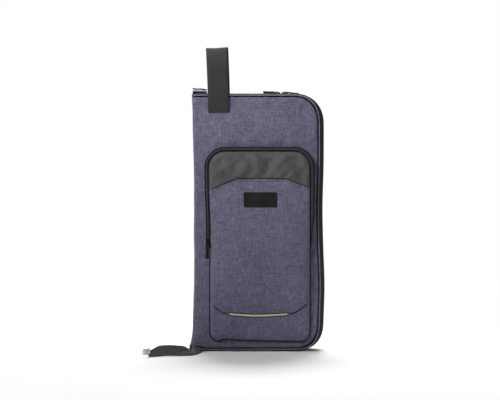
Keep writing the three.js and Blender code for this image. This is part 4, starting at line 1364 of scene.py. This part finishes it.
def puller_piece(name, node, tip, up, pivot, shape, body):
    """A flat puller with a slot at its pivot. Its shape lists (distance from the pivot, half width) in mm."""
    across = tip.cross(up)
    work = bmesh.new()
    edges = []
    for outline in (mirrored(shape), PULLER_HOLE):
        corners = [work.verts.new(pivot + (tip * a + across * b) * MM - up * (PULLER_THICKNESS / 2))
                   for a, b in outline]
        edges += [work.edges.new(pair) for pair in zip(corners, corners[1:] + corners[:1])]
    filled = bmesh.ops.triangle_fill(work, edges=edges, use_beauty=True)["geom"]
    faces = [part for part in filled if isinstance(part, bmesh.types.BMFace)]
    for part in bmesh.ops.extrude_face_region(work, geom=faces)["geom"]:
        if isinstance(part, bmesh.types.BMVert):
            part.co += up * PULLER_THICKNESS
    work.verts.index_update()
    vertices = [v.co.copy() for v in work.verts]
    polygons = [[v.index for v in face.verts] for face in work.faces]
    work.free()
    puller = bevel(add_mesh(name, vertices, polygons, BLACK_METAL, False), 0.22 * MM, 2, 35)
    place(puller, body, "zip_metal", node)


def puller_shape(length, width, end):
    """A waisted blade with its own end, a list of (distance back from the tip, share of the half width)."""
    half = width / 2
    waist = [(-0.6, half * 0.8), (0.5, half), (4.0, half), (5.6, half * 0.62), (length * 0.6, half * 0.7)]
    return waist + [(length - back, half * share) for back, share in end]


def add_pull_tab(side, direction, pivot):
    """A folded webbing tab bound to the puller. The left one is thick; the right one is flat and droops."""
    section = rounded_section(1.0, 1.0, 6)
    rings = []
    for distance, half, thick, lift in PULL_TABS[side]:
        centre = pivot + (direction * distance + UP * lift) * MM
        rings.append([centre + Vector((0, a * 2 * half, b * 2 * thick)) * MM for a, b in section])
    tube(f"main_zip_tab_{side}", rings, WEBBING, f"main_puller_{side}", "webbing",
         f"main_zip_pull_tab_{side}")


def add_zip_pulls():
    for side, direction in (("left", Vector((-1, 0, 0))), ("right", Vector((1, 0, 0)))):
        node = f"main_zip_slider_{side}"
        low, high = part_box(node)
        origin = Vector(((low.x + high.x) / 2, SPLIT_Y, TOP - 0.2 * MM))
        slider_piece(f"main_zip_body_{side}", node, -direction, UP, origin, (high.x - low.x) / MM, 9.6,
                     f"main_slider_{side}")
        pivot = origin + UP * 2.6 * MM
        shape = puller_shape(9.6, 5.4, [(0.8, 0.9), (0, 0.7)])
        puller_piece(f"main_zip_pull_{side}", f"main_zip_puller_{side}", direction, UP, pivot, shape,
                     f"main_puller_{side}")
        add_pull_tab(side, direction, pivot)
    low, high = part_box("pocket_zip_slider")
    middle = (low.z + high.z) / 2
    clear_x = (low.x + high.x) / 2 + 0.3 * tape_bow(middle)  # clear of the flap's edge
    origin = Vector((clear_x, TAPE_Y, middle))
    out = Vector((0, -1, 0))
    slider_piece("pocket_zip_body", "pocket_zip_slider", UP, out, origin, 14, 6.4, "pocket_slider")
    # Three bright steel bars on the black slider paint its glints.
    ribs = [box_block(origin + Vector((-1.2, -1.4, height)) * MM, Vector((7.6, 0, 0)) * MM, out * 1.6 * MM,
                      UP * 1.3 * MM) for height in (-4.2, -0.4, 3.4)]
    glint_bars = bevel(joined("pocket_zip_painted_glints", ribs, STEEL, False), 0.4 * MM)
    place(glint_bars, "pocket_slider", "zip_metal")
    shape = puller_shape(30, 7.6, [(4.5, 1), (1.5, 0.95), (0, 0.5)])
    puller_piece("pocket_zip_pull", "pocket_zip_puller", -UP, out, origin + out * 2.6 * MM, shape,
                 "pocket_puller")


def finish_kept_nodes():
    """The padding, boards and zip stops keep their CAD shape and take a proper material."""
    for name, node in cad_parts.items():
        for word, material in (("foam", FOAM), ("board", BOARD), ("zip_stop", BLACK_METAL)):
            if word in name:
                node.data.materials.clear()
                node.data.materials.append(material)


# ---- Floor and light ----


def white_to_camera(tree, amount, usual, white, output):
    """Show the camera a white shader in place of the usual one, by an amount."""
    choice = add_node(tree, "MixShader", {0: amount, 1: usual, 2: white})
    feed(tree, output.inputs[0], choice.outputs[0])


def add_floor():
    """A wide pale floor. Away from the bag it turns into the white of the backdrop, so no edge shows."""
    bpy.ops.mesh.primitive_plane_add(size=30)
    floor = bpy.context.object
    floor.name = "floor"
    made = Shader("floor", Base_Color=(0.93, 0.93, 0.935, 1), Roughness=0.9)
    distance = made.add("VectorMath", {0: made.place}, operation="LENGTH").outputs["Value"]
    fade = made.add("MapRange", {"Value": distance, "From Min": FLOOR_FADE[0], "From Max": FLOOR_FADE[1]},
                    interpolation_type="SMOOTHSTEP").outputs[0]
    amount = made.math("MULTIPLY", fade, made.add("LightPath").outputs["Is Camera Ray"])
    white_to_camera(made.tree, amount, made.main.outputs[0], made.add("Emission").outputs[0],
                    made.tree.nodes["Material Output"])
    floor.data.materials.append(made.material)


def add_area_light(name, place_at, target, size, power, spread_angle=180):
    data = bpy.data.lights.new(name, "AREA")
    set_all(data, shape="RECTANGLE", size=size[0], size_y=size[1], energy=power, spread=radians(spread_angle))
    aim(add_object(name, data), place_at, target)


def add_light():
    """A white studio: its backdrop is plain white to the camera, and lights the bag at a lower level."""
    world = bpy.data.worlds.new("studio")
    bpy.context.scene.world = world
    world.use_nodes = True
    tree = world.node_tree
    ambient = tree.nodes["Background"]
    feed(tree, ambient.inputs["Color"], (0.97, 0.98, 1.0, 1))
    feed(tree, ambient.inputs["Strength"], AMBIENT)
    backdrop = add_node(tree, "Background", {"Color": (1, 1, 1, 1)})
    white_to_camera(tree, add_node(tree, "LightPath").outputs["Is Camera Ray"], ambient.outputs[0],
                    backdrop.outputs[0], tree.nodes["World Output"])
    add_area_light("key", (-0.95, -1.0, 1.4), (0.0, 0, 0.52), (0.4, 0.4), KEY_POWER, 44)
    add_area_light("top", (0.05, 0.85, 2.2), (0, 0.1, 0), (1.3, 0.8), TOP_POWER)
    bpy.context.scene.view_settings.view_transform = "Standard"


add_camera()
add_strap()
add_halves()
add_handle()
add_zip_end_patch()
add_pocket()
add_zip_pulls()
finish_kept_nodes()
add_floor()
add_light()
